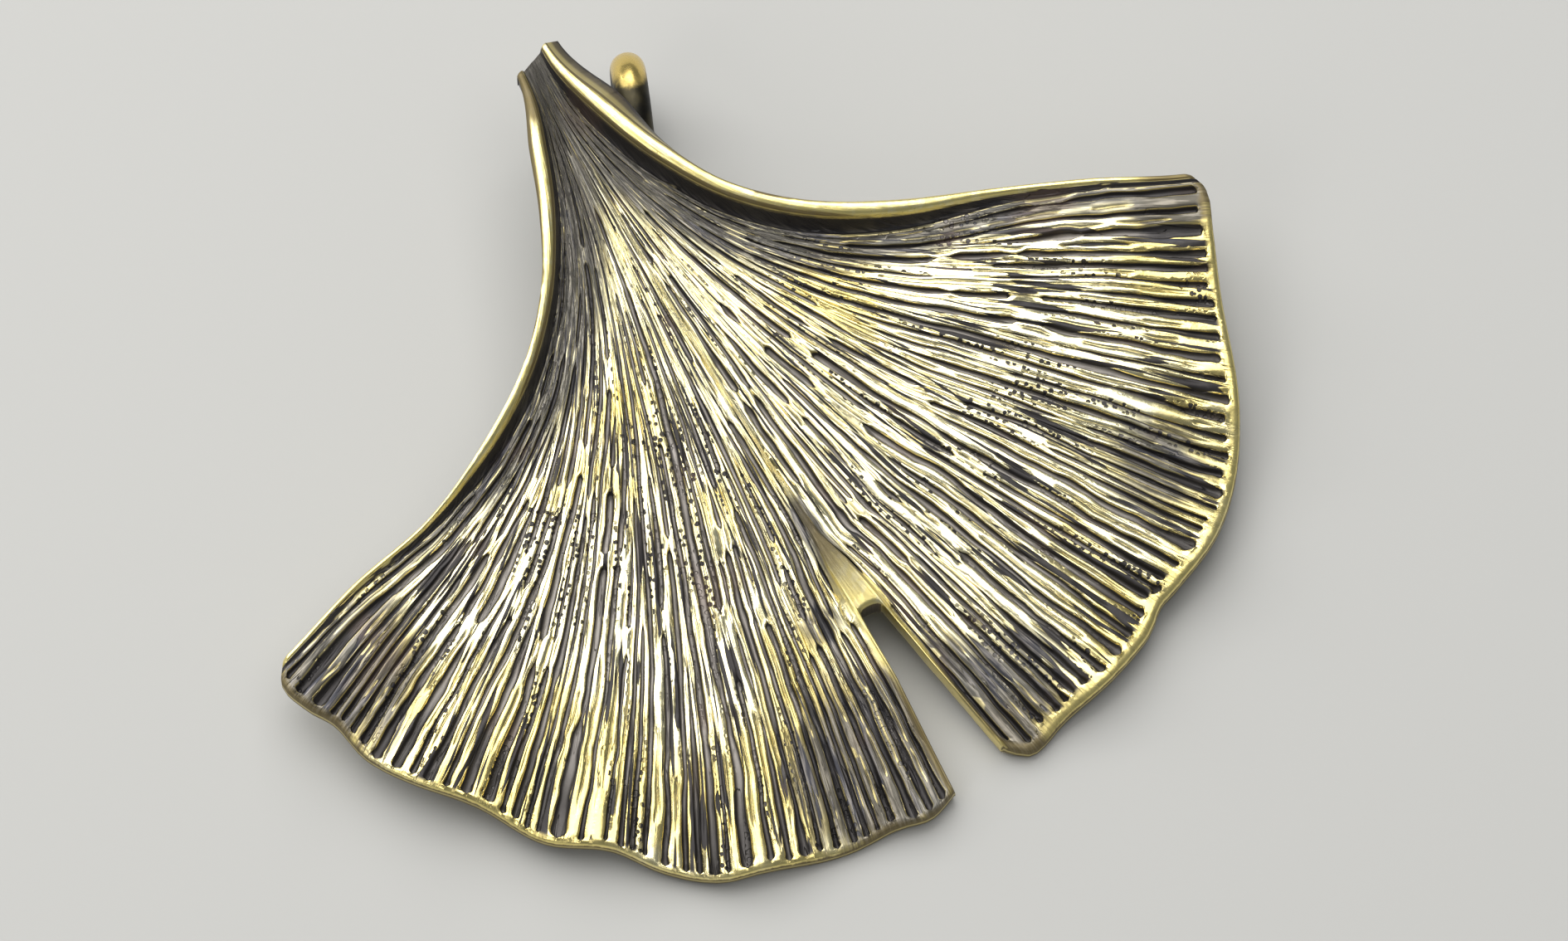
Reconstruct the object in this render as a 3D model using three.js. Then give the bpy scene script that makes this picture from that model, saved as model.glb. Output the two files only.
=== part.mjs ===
// A cast brass pendant in the shape of a ginkgo leaf, lying face up on its outer edge and its hanging ring.
// Millimetres, +Z up. The stem points to +Y, the fan opens to -Y, and Z = 0 is the surface that it lies on.
//
// The leaf is one casting: a fan of two lobes parted by a slit, with raised side rims, a hollow stem and
// fine ridges that follow the veins. It is built vein by vein: a place on the leaf is given by its lobe,
// by how far it lies across the lobe (0 at the side rim, 1 at the slit) and by how far it lies along the
// vein (0 at the cut end of the stem, 1 at the outer edge).

import * as THREE from 'three';

// ---------------------------------------------------------------- driving dimensions

// The dimensions below are laid out from a point near the middle of the leaf. This moves the finished
// pendant, so that the origin is under the middle of its bounding box.
const MOVE_TO_ORIGIN = new THREE.Vector3(0.945, -3.002, 0);

// How the leaf lies: height of its face at the origin, and its slope to +X and to +Y.
const FACE_HEIGHT = 5.3;
const SLOPE_X = 0.03;
const SLOPE_Y = 0.17;

const SHEET_THICKNESS = 1.2;
const STEM_THICKNESS = 1.9;
const EDGE_ROUNDING = 0.25;
const EDGE_DROP = 0.12;
const BELLY_LEVEL = 0.5;
// How far the back stays inside each side, at equal steps from stem to corner.
const LEFT_INSET = [0.6, 0.9, 1.3, 1.4, 1.3, 1.0, 0.7, 0.6, 0.6];
const RIGHT_INSET = [0.4, 0.5, 0.6, 0.6, 0.6, 0.6, 0.6, 0.6, 0.6];
const INSET_LIMIT = 0.4;

// The oblique cut across the end of the stem, from its left side to its right side.
const STEM_CUT_LEFT = new THREE.Vector2(-2.0, 26.8);
const STEM_CUT_RIGHT = new THREE.Vector2(0.5, 27.7);

// Every vein leaves the stem towards this point, and then swings out to its place on the edge.
const STEM_AIM = new THREE.Vector2(-1.5, 14.0);
const STEM_AIM_SPREAD = 1.0;
const FAN_AIM_SHARE = 0.48;
const FAN_AIM_SHIFT = new THREE.Vector2(-0.5, 6.3);

// Outer edge of each lobe, from the side corner to the slit.
const LEFT_EDGE = [
  [-30.7, 4.4], [-31.4, 3.2], [-30.8, 1.4], [-29.9, 0.0], [-29.3, -2.6], [-27.7, -5.4],
  [-25.1, -8.4], [-22.9, -12.0], [-19.9, -14.3], [-18.0, -16.6], [-15.4, -18.8],
  [-13.1, -19.6], [-8.4, -20.9], [-5.3, -21.2], [-3.2, -21.7], [-1.3, -21.1],
];
const RIGHT_EDGE = [
  [29.3, 2.6], [29.6, 1.4], [28.7, -0.8], [27.3, -4.0], [24.7, -10.3], [22.5, -13.5],
  [19.3, -16.2], [15.9, -17.5], [14.6, -17.9], [13.3, -18.9], [9.8, -20.2], [6.4, -20.7],
  [3.9, -21.3], [2.5, -20.3],
];

// How far each side bows out from the plain vein curve, at equal steps from stem to corner.
const LEFT_BOW = [0.0, 0.95, 0.75, 0.0, -0.65, -0.85, -0.8, 0.0, 0.0];
const RIGHT_BOW = [0.0, 0.95, 0.9, 0.3, 0.15, 0.45, 0.95, 0.8, 0.0];

// Side rims: a broad polished band that steps down to a thin lip, at equal steps from stem to corner.
const RIM_HEIGHT = [0.55, 1.2, 1.5, 1.5, 1.5, 1.35, 0.7, 0.45, 0.25];
const RIM_WIDTH = [0.5, 0.8, 1.05, 1.2, 1.4, 1.4, 0.6, 0.5, 0.45];
const RIM_FOOT = 0.35;
const RIM_LEAN = 0.1;
// How far the outside of each side swells past the rim, at equal steps from stem to corner.
const LEFT_FLARE = [-0.1, -0.25, -0.4, -0.4, -0.35, -0.2, 0.0, 0.1, 0.0];
const RIGHT_FLARE = [0.9, 1.25, 0.5, 0.25, 0.15, 0.15, 0.15, 0.1, 0.0];

// The hollow that runs inside the rims and down the stem.
const CHANNEL_DEPTH = 1.0;
const CHANNEL_WIDTH = 3.2;
const CHANNEL_RISE = 0.13;
const CHANNEL_START = 0.45;
const CHANNEL_END = 0.85;

// Slit between the lobes: its centre line and its half width, both against Y.
const SLIT_LINE = [[26.8, -0.9], [11.0, -1.05], [-4.5, -0.7], [-10.3, -0.1], [-14.0, 0.2], [-20.8, 0.6]];
const SLIT_HALF_WIDTH = [[26.8, 0.03], [11.0, 0.1], [-4.5, 0.3], [-10.3, 0.6], [-14.0, 1.0], [-20.8, 1.9]];
const SLIT_APEX = 0.79;
const SLIT_RIM_HEIGHT = 0.25;
const SLIT_RIM_WIDTH = 0.45;
const GUSSET_HEIGHT = 0.45;
const GUSSET_LENGTH = 0.06;

// Ridges and grooves. Ridges merge in pairs towards the stem.
const LEFT_RIDGES = 40;
const RIGHT_RIDGES = 32;
const GROOVE_DEPTH = 0.42;
const GROOVE_SHARE = 0.2;
const GROOVE_WANDER = 0.012;
const GROOVE_END = 1.2;
const LIP_WIDTH = 0.85;

// Low waves along the outer edge, and the places where a lobe droops.
const WAVE_HEIGHT = 0.35;
const LEFT_WAVES = 4.5;
const RIGHT_WAVES = 4.0;
const DROOPS = [
  { x: 23.5, y: -12.5, radius: 6.5, depth: 0.9 },
  { x: -3.5, y: -19.0, radius: 5.0, depth: 0.4 },
  { x: 4.6, y: -21.0, radius: 4.0, depth: 0.4 },
  { x: -30.0, y: 1.0, radius: 5.0, depth: 0.5 },
];

// Hanging ring of round wire, soldered to the right side of the stem. It stands on edge.
const RING_OUTER_DIAMETER = 8.0;
const RING_WIRE_DIAMETER = 2.1;
const RING_CENTRE = new THREE.Vector2(3.7, 23.42);
const RING_TURN = THREE.MathUtils.degToRad(23.5);
const RING_STEPS = 28;
const RING_SIDES = 10;
const FOOT_WEAR = 0.08;

// ---------------------------------------------------------------- small helpers

/** Smooth value of a list of numbers that stand at equal steps from 0 to 1. */
function sampleList(values, at) {
  const last = values.length - 1;
  const place = THREE.MathUtils.clamp(at, 0, 1) * last;
  const i = Math.min(Math.floor(place), last - 1);
  const before = values[Math.max(i - 1, 0)];
  const after = values[Math.min(i + 2, last)];
  return catmullRom(place - i, before, values[i], values[i + 1], after);
}

/** Uniform Catmull-Rom between b and c. */
function catmullRom(t, a, b, c, d) {
  const startSlope = (c - a) / 2;
  const endSlope = (d - b) / 2;
  const cube = 2 * b - 2 * c + startSlope + endSlope;
  const square = -3 * b + 3 * c - 2 * startSlope - endSlope;
  return ((cube * t + square) * t + startSlope) * t + b;
}

/** Straight-line value at y of a table of [y, value] rows that run from high y to low y. */
function sampleTable(rows, y) {
  for (let i = 1; i < rows.length; i += 1) {
    if (y >= rows[i][0] || i === rows.length - 1) {
      const share = (rows[i - 1][0] - y) / (rows[i - 1][0] - rows[i][0]);
      return THREE.MathUtils.lerp(rows[i - 1][1], rows[i][1], THREE.MathUtils.clamp(share, 0, 1));
    }
  }
  return rows[0][1];
}

/** A repeatable number from 0 to 1 for a whole number. */
function scatter(n) {
  const wave = Math.sin(n * 127.1 + 11.7) * 43758.5453;
  return wave - Math.floor(wave);
}

function outlineCurve(points) {
  const corners = points.map(([x, y]) => new THREE.Vector3(x, y, 0));
  return new THREE.CatmullRomCurve3(corners, false, 'centripetal');
}

// ---------------------------------------------------------------- plan of the leaf

const LOBES = {
  left: {
    sign: -1, edge: outlineCurve(LEFT_EDGE), bow: LEFT_BOW, flare: LEFT_FLARE, inset: LEFT_INSET,
    ridges: LEFT_RIDGES, waves: LEFT_WAVES, firstSeed: 0,
  },
  right: {
    sign: 1, edge: outlineCurve(RIGHT_EDGE), bow: RIGHT_BOW, flare: RIGHT_FLARE, inset: RIGHT_INSET,
    ridges: RIGHT_RIDGES, waves: RIGHT_WAVES, firstSeed: 500,
  },
};

/** Plain vein curve, before the sides and the slit are fitted. */
function plainVein(lobe, across, along) {
  const end = lobe.edge.getPointAt(across);
  const turn = lobe.sign * (1 - across);
  const start = STEM_CUT_LEFT.clone().lerp(STEM_CUT_RIGHT, (turn + 1) / 2);
  const rest = 1 - along;
  const w0 = rest ** 3;
  const w1 = 3 * rest ** 2 * along;
  const w2 = 3 * rest * along ** 2;
  const w3 = along ** 3;
  const stemAimX = STEM_AIM.x + STEM_AIM_SPREAD * turn;
  const fanAimX = FAN_AIM_SHARE * end.x + FAN_AIM_SHIFT.x;
  const fanAimY = FAN_AIM_SHARE * end.y + FAN_AIM_SHIFT.y;
  return new THREE.Vector2(
    w0 * start.x + w1 * stemAimX + w2 * fanAimX + w3 * end.x,
    w0 * start.y + w1 * STEM_AIM.y + w2 * fanAimY + w3 * end.y,
  );
}

/** Unit vector in plan that points out of the leaf, square to its side edge. */
function sideNormal(lobe, along) {
  const step = 0.004;
  const ahead = plainVein(lobe, 0, Math.min(along + step, 1));
  const run = ahead.sub(plainVein(lobe, 0, Math.max(along - step, 0))).normalize();
  return new THREE.Vector3(-lobe.sign * run.y, lobe.sign * run.x, 0);
}

/** How far the side edge of a lobe is moved from the plain vein. */
function sideShift(lobe, along) {
  return sideNormal(lobe, along).multiplyScalar(sampleList(lobe.bow, along));
}

/** How far the slit edge of a lobe is moved from the plain vein. */
function slitShift(lobe, along) {
  const vein = plainVein(lobe, 1, along);
  const centring = THREE.MathUtils.smoothstep(along, 0, 0.1) * (sampleTable(SLIT_LINE, vein.y) - vein.x);
  return new THREE.Vector2(centring + lobe.sign * sampleTable(SLIT_HALF_WIDTH, vein.y), 0);
}

/** Plan position on the leaf. */
function planPoint(lobe, across, along) {
  const point = plainVein(lobe, across, along);
  point.addScaledVector(sideShift(lobe, along), (1 - across) ** 3);
  point.addScaledVector(slitShift(lobe, along), across ** 3);
  return point;
}

/** Width of a lobe, side to slit, at one place along the veins. */
function lobeWidth(lobe, along) {
  return planPoint(lobe, 0, along).distanceTo(planPoint(lobe, 1, along));
}

/** The place along a vein that lies a given distance in from the outer edge. */
function alongFromEdge(lobe, across, distance) {
  const step = 0.02;
  const speed = planPoint(lobe, across, 1).distanceTo(planPoint(lobe, across, 1 - step)) / step;
  return 1 - distance / speed;
}

// ---------------------------------------------------------------- height of the leaf

function faceHeight(x, y) {
  return FACE_HEIGHT + SLOPE_X * x + SLOPE_Y * y;
}

/** How deep the hollow inside the rims is: it starts at the stem's end and dies out in the fan. */
function channelShare(along) {
  const rise = THREE.MathUtils.smoothstep(along, 0, CHANNEL_RISE);
  return rise * (1 - THREE.MathUtils.smoothstep(along, CHANNEL_START, CHANNEL_END));
}

/** Height of the smooth face over the sloping plane: channel, edge waves and droops. */
function faceShape(lobe, across, along, x, y) {
  const inFromRim = across * lobeWidth(lobe, along);
  const channelFade = channelShare(along);
  let shape = -CHANNEL_DEPTH * channelFade * Math.exp(-((inFromRim / CHANNEL_WIDTH) ** 2));
  shape += WAVE_HEIGHT * along ** 5 * Math.sin(2 * Math.PI * lobe.waves * across);
  for (const droop of DROOPS) {
    const away = Math.hypot(x - droop.x, y - droop.y) / droop.radius;
    shape -= droop.depth * Math.exp(-(away ** 2));
  }
  return shape;
}

/** A vertex of the front face. lift is its height over the smooth face. */
function frontPoint(lobe, across, along, lift) {
  const point = planPoint(lobe, across, along);
  const z = faceHeight(point.x, point.y) + faceShape(lobe, across, along, point.x, point.y) + lift;
  return new THREE.Vector3(point.x, point.y, z);
}

/** A vertex on top of a side rim: its height doesn't follow the channel. */
function rimPoint(lobe, across, along, drop) {
  const point = frontPoint(lobe, across, along, 0);
  const channelFade = channelShare(along);
  point.z += CHANNEL_DEPTH * channelFade + sampleList(RIM_HEIGHT, along) - drop;
  return point;
}

function thickness(along) {
  return THREE.MathUtils.lerp(STEM_THICKNESS, SHEET_THICKNESS, THREE.MathUtils.smoothstep(along, 0.05, 0.3));
}

// ---------------------------------------------------------------- rows of vertices

// Each row crosses both lobes. It lies at a place along the veins, or a set distance from the outer edge.
// merge says how many ridges of the fan are one ridge there.
const ROWS = [
  { along: 0.0, merge: 8 }, { along: 0.045, merge: 8 }, { along: 0.1, merge: 8 },
  { along: 0.16, merge: 4 }, { along: 0.22, merge: 4 },
  { along: 0.29, merge: 2 }, { along: 0.36, merge: 2 }, { along: 0.43, merge: 2 },
  { along: 0.5, merge: 1 }, { along: 0.57, merge: 1 }, { along: 0.64, merge: 1 }, { along: 0.715, merge: 1 },
  { along: SLIT_APEX, merge: 1 }, { along: 0.85, merge: 1 }, { along: 0.9, merge: 1 },
  { fromEdge: GROOVE_END, merge: 1 },
  { fromEdge: LIP_WIDTH, merge: 1, smooth: true },
  { fromEdge: EDGE_ROUNDING, merge: 1, smooth: true, drop: EDGE_DROP },
];
const APEX_ROW = ROWS.findIndex((row) => row.along === SLIT_APEX);
const BACK_ROWS = ROWS.filter((row, i) => i % 2 === 0 || row.drop);
const BACK_APEX_ROW = BACK_ROWS.indexOf(ROWS[APEX_ROW]);

class MeshBuilder {
  constructor() {
    this.points = [];
    this.faces = [];
  }

  /** Adds a vertex, no lower than the surface that the pendant lies on. */
  add(point) {
    this.points.push(point.x, point.y, Math.max(point.z, 0));
    return this.points.length / 3 - 1;
  }

  /** Adds a line of vertices, from a list of { point, at } with rising at. */
  addLine(places) {
    return places.map(({ point, at }) => ({ vertex: this.add(point), at }));
  }

  triangle(a, b, c, flip) {
    this.faces.push(...(flip ? [c, b, a] : [a, b, c]));
  }

  /** Joins two lines of vertices with triangles, whichever line steps on first. */
  stitch(first, second, flip) {
    let i = 0;
    let j = 0;
    while (i < first.length - 1 || j < second.length - 1) {
      const nextFirst = i < first.length - 1 ? first[i + 1].at : Infinity;
      const nextSecond = j < second.length - 1 ? second[j + 1].at : Infinity;
      const firstStepsOn = nextFirst <= nextSecond;
      const third = firstStepsOn ? first[i + 1].vertex : second[j + 1].vertex;
      this.triangle(first[i].vertex, second[j].vertex, third, flip);
      i += firstStepsOn ? 1 : 0;
      j += firstStepsOn ? 0 : 1;
    }
  }

  geometry() {
    const geometry = new THREE.BufferGeometry();
    geometry.setAttribute('position', new THREE.Float32BufferAttribute(this.points, 3));
    geometry.setIndex(this.faces);
    geometry.computeVertexNormals();
    return geometry;
  }
}

/** Place along the vein of one vertex of a row. */
function rowAlong(lobe, row, across) {
  return row.along ?? alongFromEdge(lobe, across, row.fromEdge);
}

/** Front of one row of one lobe, from the side rim to the slit. */
function frontLine(lobe, row) {
  const line = [];
  const middle = rowAlong(lobe, row, 0.5);
  const width = lobeWidth(lobe, middle);
  const rim = Math.min(sampleList(RIM_WIDTH, middle) / width, 0.35);
  const fieldStart = rim + Math.min(RIM_FOOT / width, 0.12);
  const fieldEnd = 1 - Math.min(SLIT_RIM_WIDTH / width, 0.12);
  const drop = row.drop ?? 0;
  const put = (point, at) => line.push({ point, at });

  put(rimPoint(lobe, 0, rowAlong(lobe, row, 0), RIM_LEAN + drop), 0);
  put(rimPoint(lobe, rim, rowAlong(lobe, row, rim), drop), rim);

  const ridges = lobe.ridges / row.merge;
  const depth = row.smooth ? 0 : GROOVE_DEPTH;
  for (let k = 0; k <= ridges; k += 1) {
    const seed = k * row.merge + lobe.firstSeed;
    const share = GROOVE_SHARE * (0.8 + 0.5 * scatter(seed));
    const places = [{ place: k / ridges, lift: -depth * (0.75 + 0.45 * scatter(seed + 50)) }];
    if (k < ridges) {
      places.push({ place: (k + share) / ridges, lift: 0 }, { place: (k + 1 - share) / ridges, lift: 0 });
    }
    for (const { place, lift } of places) {
      const sway = Math.sin(2 * Math.PI * (3 * place + 1.7 * middle)) * Math.sin(Math.PI * place);
      const across = THREE.MathUtils.lerp(fieldStart, fieldEnd, place + GROOVE_WANDER * sway);
      put(frontPoint(lobe, across, rowAlong(lobe, row, across), lift - drop), across);
    }
  }
  const slitAlong = rowAlong(lobe, row, 1);
  put(frontPoint(lobe, 1, slitAlong, slitLift(slitAlong) - drop), 1);
  return line;
}

/** Height of the slit's thin rim, and of the smooth gusset at its inner end. */
function slitLift(along) {
  return SLIT_RIM_HEIGHT + GUSSET_HEIGHT * Math.exp(-(((along - SLIT_APEX) / GUSSET_LENGTH) ** 2));
}

function backSteps(lobe, row) {
  return lobe.ridges / Math.max(row.merge, 2);
}

/** Back of one row of one lobe. Its vertices are further apart than the front ones. */
function backLine(lobe, row) {
  const steps = backSteps(lobe, row);
  const width = lobeWidth(lobe, rowAlong(lobe, row, 0.5));
  const inset = Math.min(sampleList(lobe.inset, rowAlong(lobe, row, 0)) / width, INSET_LIMIT);
  return Array.from({ length: steps + 1 }, (_, k) => {
    const at = k / steps;
    const across = THREE.MathUtils.lerp(inset, 1, at);
    const along = rowAlong(lobe, row, across);
    return { point: frontPoint(lobe, across, along, -thickness(along)), at };
  });
}

/** The outermost point of the rounded side of the sheet. */
function bellyPoint(lobe, across, along) {
  const isSide = across === 0;
  const top = isSide ? rimPoint(lobe, across, along, 0) : frontPoint(lobe, across, along, 0);
  const flare = isSide ? sampleList(lobe.flare, along) : 0;
  const point = top.clone();
  point.addScaledVector(sideNormal(lobe, along), flare);
  const backHeight = frontPoint(lobe, across, along, -thickness(along)).z;
  point.z = THREE.MathUtils.lerp(backHeight, top.z, BELLY_LEVEL);
  return point;
}

function makeLeafGeometry() {
  const builder = new MeshBuilder();
  const rowEnds = (lines, end) => lines.map((line, at) => ({ vertex: line.at(end).vertex, at }));
  const front = {};
  const back = {};

  for (const [name, lobe] of Object.entries(LOBES)) {
    const flip = lobe.sign > 0;
    front[name] = ROWS.map((row) => builder.addLine(frontLine(lobe, row)));
    back[name] = BACK_ROWS.map((row) => builder.addLine(backLine(lobe, row)));
    front[name].slice(1).forEach((line, r) => builder.stitch(front[name][r], line, flip));
    back[name].slice(1).forEach((line, r) => builder.stitch(back[name][r], line, !flip));

    // The rounded outline: down the side rim, then along the outer edge.
    const steps = backSteps(lobe, ROWS.at(-1));
    const sideBelly = builder.addLine(BACK_ROWS.slice(0, -1).map((row) => ({
      point: bellyPoint(lobe, 0, rowAlong(lobe, row, 0)), at: ROWS.indexOf(row),
    })));
    const edgeBelly = builder.addLine(Array.from({ length: steps + 1 }, (_, k) => ({
      point: bellyPoint(lobe, k / steps, 1), at: k / steps,
    })));
    sideBelly.push({ vertex: edgeBelly[0].vertex, at: ROWS.length - 1 });
    const sideFront = rowEnds(front[name], 0);
    const sideBack = back[name].map((line, r) => ({ vertex: line[0].vertex, at: ROWS.indexOf(BACK_ROWS[r]) }));
    builder.stitch(sideFront, sideBelly, flip);
    builder.stitch(sideBelly, sideBack, flip);
    builder.stitch(front[name].at(-1), edgeBelly, flip);
    builder.stitch(edgeBelly, back[name].at(-1), flip);

    // The wall of the slit, and the corners where the rounded outline ends.
    const slitFront = rowEnds(front[name], -1).slice(APEX_ROW);
    const slitBack = back[name].map((line, r) => ({ vertex: line.at(-1).vertex, at: ROWS.indexOf(BACK_ROWS[r]) }));
    builder.stitch(slitFront, slitBack.slice(BACK_APEX_ROW), !flip);
    builder.triangle(slitFront.at(-1).vertex, edgeBelly.at(-1).vertex, slitBack.at(-1).vertex, flip);
    builder.triangle(sideFront[0].vertex, sideBelly[0].vertex, sideBack[0].vertex, !flip);

    // The oblique cut across the end of the stem.
    builder.stitch(front[name][0], back[name][0], !flip);
  }

  // The strip between the lobes, from the stem to the blunt inner end of the slit.
  const strip = (lines, last) => rowEnds(lines, -1).slice(0, last + 1);
  builder.stitch(strip(front.left, APEX_ROW), strip(front.right, APEX_ROW), true);
  builder.stitch(strip(back.left, BACK_APEX_ROW), strip(back.right, BACK_APEX_ROW), false);
  const acrossStrip = (lines, row) => [
    { vertex: lines.left[row].at(-1).vertex, at: 0 },
    { vertex: lines.right[row].at(-1).vertex, at: 1 },
  ];
  builder.stitch(acrossStrip(front, 0), acrossStrip(back, 0), true);
  builder.stitch(acrossStrip(front, APEX_ROW), acrossStrip(back, BACK_APEX_ROW), false);
  return builder.geometry();
}

// ---------------------------------------------------------------- hanging ring

/** A ring of round wire that stands on edge, worn a little flat where it touches the surface. */
function makeRingGeometry() {
  const builder = new MeshBuilder();
  const wireRadius = RING_WIRE_DIAMETER / 2;
  const ringRadius = RING_OUTER_DIAMETER / 2 - wireRadius;
  const centreHeight = RING_OUTER_DIAMETER / 2 - FOOT_WEAR;
  const forward = new THREE.Vector2(Math.sin(RING_TURN), Math.cos(RING_TURN));
  const sideways = new THREE.Vector2(forward.y, -forward.x);

  for (let i = 0; i < RING_STEPS; i += 1) {
    const turn = (2 * Math.PI * (i + 0.5)) / RING_STEPS;
    for (let j = 0; j < RING_SIDES; j += 1) {
      const around = (2 * Math.PI * (j + 0.5)) / RING_SIDES;
      const reach = ringRadius + wireRadius * Math.cos(around);
      const off = wireRadius * Math.sin(around);
      const ahead = reach * Math.sin(turn);
      builder.add(new THREE.Vector3(
        RING_CENTRE.x + forward.x * ahead + sideways.x * off,
        RING_CENTRE.y + forward.y * ahead + sideways.y * off,
        centreHeight - reach * Math.cos(turn),
      ));
    }
  }
  const vertexAt = (i, j) => (i % RING_STEPS) * RING_SIDES + (j % RING_SIDES);
  for (let i = 0; i < RING_STEPS; i += 1) {
    for (let j = 0; j < RING_SIDES; j += 1) {
      builder.triangle(vertexAt(i, j), vertexAt(i + 1, j), vertexAt(i + 1, j + 1), false);
      builder.triangle(vertexAt(i, j), vertexAt(i + 1, j + 1), vertexAt(i, j + 1), false);
    }
  }
  return builder.geometry();
}

// ---------------------------------------------------------------- the pendant

const castBrass = new THREE.MeshStandardMaterial({ color: 0xc9ac62, roughness: 0.35, metalness: 1 });
const wireBrass = new THREE.MeshStandardMaterial({ color: 0x8a6a2c, roughness: 0.4, metalness: 1 });

const leaf = new THREE.Mesh(makeLeafGeometry(), castBrass);
leaf.name = 'leaf';

const ring = new THREE.Mesh(makeRingGeometry(), wireBrass);
ring.name = 'hanging_ring';

const pendant = new THREE.Group();
pendant.add(leaf, ring);
pendant.position.copy(MOVE_TO_ORIGIN);

export default pendant;
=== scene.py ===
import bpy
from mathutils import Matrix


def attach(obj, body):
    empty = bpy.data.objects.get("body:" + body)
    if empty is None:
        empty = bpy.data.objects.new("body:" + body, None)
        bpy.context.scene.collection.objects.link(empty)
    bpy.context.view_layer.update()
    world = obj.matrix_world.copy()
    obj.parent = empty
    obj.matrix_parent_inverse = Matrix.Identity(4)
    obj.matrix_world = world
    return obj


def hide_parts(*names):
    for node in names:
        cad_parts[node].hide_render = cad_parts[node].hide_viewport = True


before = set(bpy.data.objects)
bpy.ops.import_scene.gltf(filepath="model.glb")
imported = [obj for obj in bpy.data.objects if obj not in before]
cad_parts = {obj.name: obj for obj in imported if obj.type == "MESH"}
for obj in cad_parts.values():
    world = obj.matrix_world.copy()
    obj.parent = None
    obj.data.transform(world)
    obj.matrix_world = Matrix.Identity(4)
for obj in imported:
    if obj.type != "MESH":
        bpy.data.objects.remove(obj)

"""Cast brass ginkgo leaf pendant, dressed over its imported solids.

The leaf is laid out in millimetres on a net of places. A place is given by how far it lies across a lobe
(0 at the side rim, 1 at the slit) and how far along a vein (0 at the cut end of the stem, 1 at the outer
edge). A grid is shaped to that net, thickened by extrusion, and thinned where it is smooth.
"""

import logging
import math
from dataclasses import dataclass, field
from enum import Enum
from typing import ClassVar

import bpy
import numpy as np
from mathutils import Matrix, Vector, kdtree

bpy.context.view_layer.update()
LOG = logging.getLogger("ginkgo_pendant")
MM = 0.001

Pairs = tuple[tuple[float, float], ...]
Triple = tuple[float, float, float]

# Moves the layout, so that the origin is under the middle of the pendant (mm).
MOVE_TO_ORIGIN = np.array([0.945, -3.002, 0.0])


# ------------------------------------------------------------------ small helpers


def smoothstep(value: np.ndarray, low: float | np.ndarray, high: float | np.ndarray) -> np.ndarray:
    """Smooth rise from 0 at low to 1 at high.

    Args:
        value: Numbers to map.
        low: Where the rise starts.
        high: Where it ends.

    Returns:
        The mapped numbers.
    """
    share = np.clip((value - low) / (high - low), 0.0, 1.0)
    return share * share * (3.0 - 2.0 * share)


def cubic(
    t: np.ndarray, start: np.ndarray, end: np.ndarray, leave: np.ndarray, arrive: np.ndarray,
) -> np.ndarray:
    """Smooth curve from one value to another.

    Args:
        t: Share of the way, from 0 to 1.
        start: Value at 0.
        end: Value at 1.
        leave: Slope at 0.
        arrive: Slope at 1.

    Returns:
        The values on the way.
    """
    cube = 2 * start - 2 * end + leave + arrive
    square = -3 * start + 3 * end - 2 * leave - arrive
    return ((cube * t + square) * t + leave) * t + start


def sample_list(values: tuple[float, ...], at: np.ndarray) -> np.ndarray:
    """Smooth value of numbers that stand at equal steps from 0 to 1.

    Args:
        values: The numbers.
        at: Places from 0 to 1.

    Returns:
        One number for each place.
    """
    numbers = np.asarray(values, dtype=float)
    last = len(numbers) - 1
    place = np.clip(at, 0.0, 1.0) * last
    i = np.minimum(np.floor(place).astype(int), last - 1)
    before, start = numbers[np.maximum(i - 1, 0)], numbers[i]
    end, after = numbers[i + 1], numbers[np.minimum(i + 2, last)]
    return cubic(place - i, start, end, (end - before) / 2, (after - start) / 2)


class Unevenness:
    """Repeatable hand-made unevenness, the same on every run."""

    def __init__(self, seed: int) -> None:
        """Starts the unevenness from a seed."""
        self.source = np.random.default_rng(seed)

    def spread(self, count: int, low: float, high: float) -> np.ndarray:
        """Gives count numbers between low and high."""
        return self.source.uniform(low, high, count)

    def drift(self, places: np.ndarray, step: float) -> np.ndarray:
        """Smooth random wander from -1 to 1 down each column of places.

        Args:
            places: Distances in mm, one column for each line (rows x lines).
            step: Distance in mm over which the wander changes.

        Returns:
            The wander, of the same shape as places.
        """
        lines = places.shape[1]
        lattice = self.source.uniform(-1, 1, (int(places.max() / step) + 3, lines))
        cell = np.clip(places / step, 0, None)
        i = np.floor(cell).astype(int)
        t = smoothstep(cell - i, 0.0, 1.0)
        columns = np.arange(lines)[None, :]
        return lattice[i, columns] * (1 - t) + lattice[i + 1, columns] * t


# ------------------------------------------------------------------ layout of the leaf


class Side(Enum):
    """The two lobes of the fan, seen from the ridged face with the stem away from the viewer."""

    LEFT = -1
    RIGHT = 1


@dataclass(frozen=True)
class LobeSizes:
    """Sizes of one lobe in mm.

    Attributes:
        side: Which lobe it is.
        edge: Outer edge, from the side corner to the slit.
        bow: How far the side bows out from the plain vein, at equal steps from stem to corner.
        flare: How far the outside swells past the rim, at the same steps.
        inset: How far the back stays inside the side, at the same steps.
        ridges: Number of ridges at the outer edge.
        waves: Number of waves along the outer edge.
        seed: Start of this lobe's unevenness.
        fineness: How much narrower the grooves are away from the outer edge, at equal steps from
            the side to the slit.
        end_from_edge: Least and greatest distance from the grooves' ends to the outer edge.
        wide_grooves: Numbers of the grooves that widen in the middle, and by how much.
    """

    side: Side
    edge: Pairs
    bow: tuple[float, ...]
    flare: tuple[float, ...]
    inset: tuple[float, ...]
    ridges: int
    waves: float
    seed: int
    fineness: tuple[float, ...]
    end_from_edge: tuple[float, float]
    wide_grooves: tuple[tuple[int, float], ...] = ()


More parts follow.
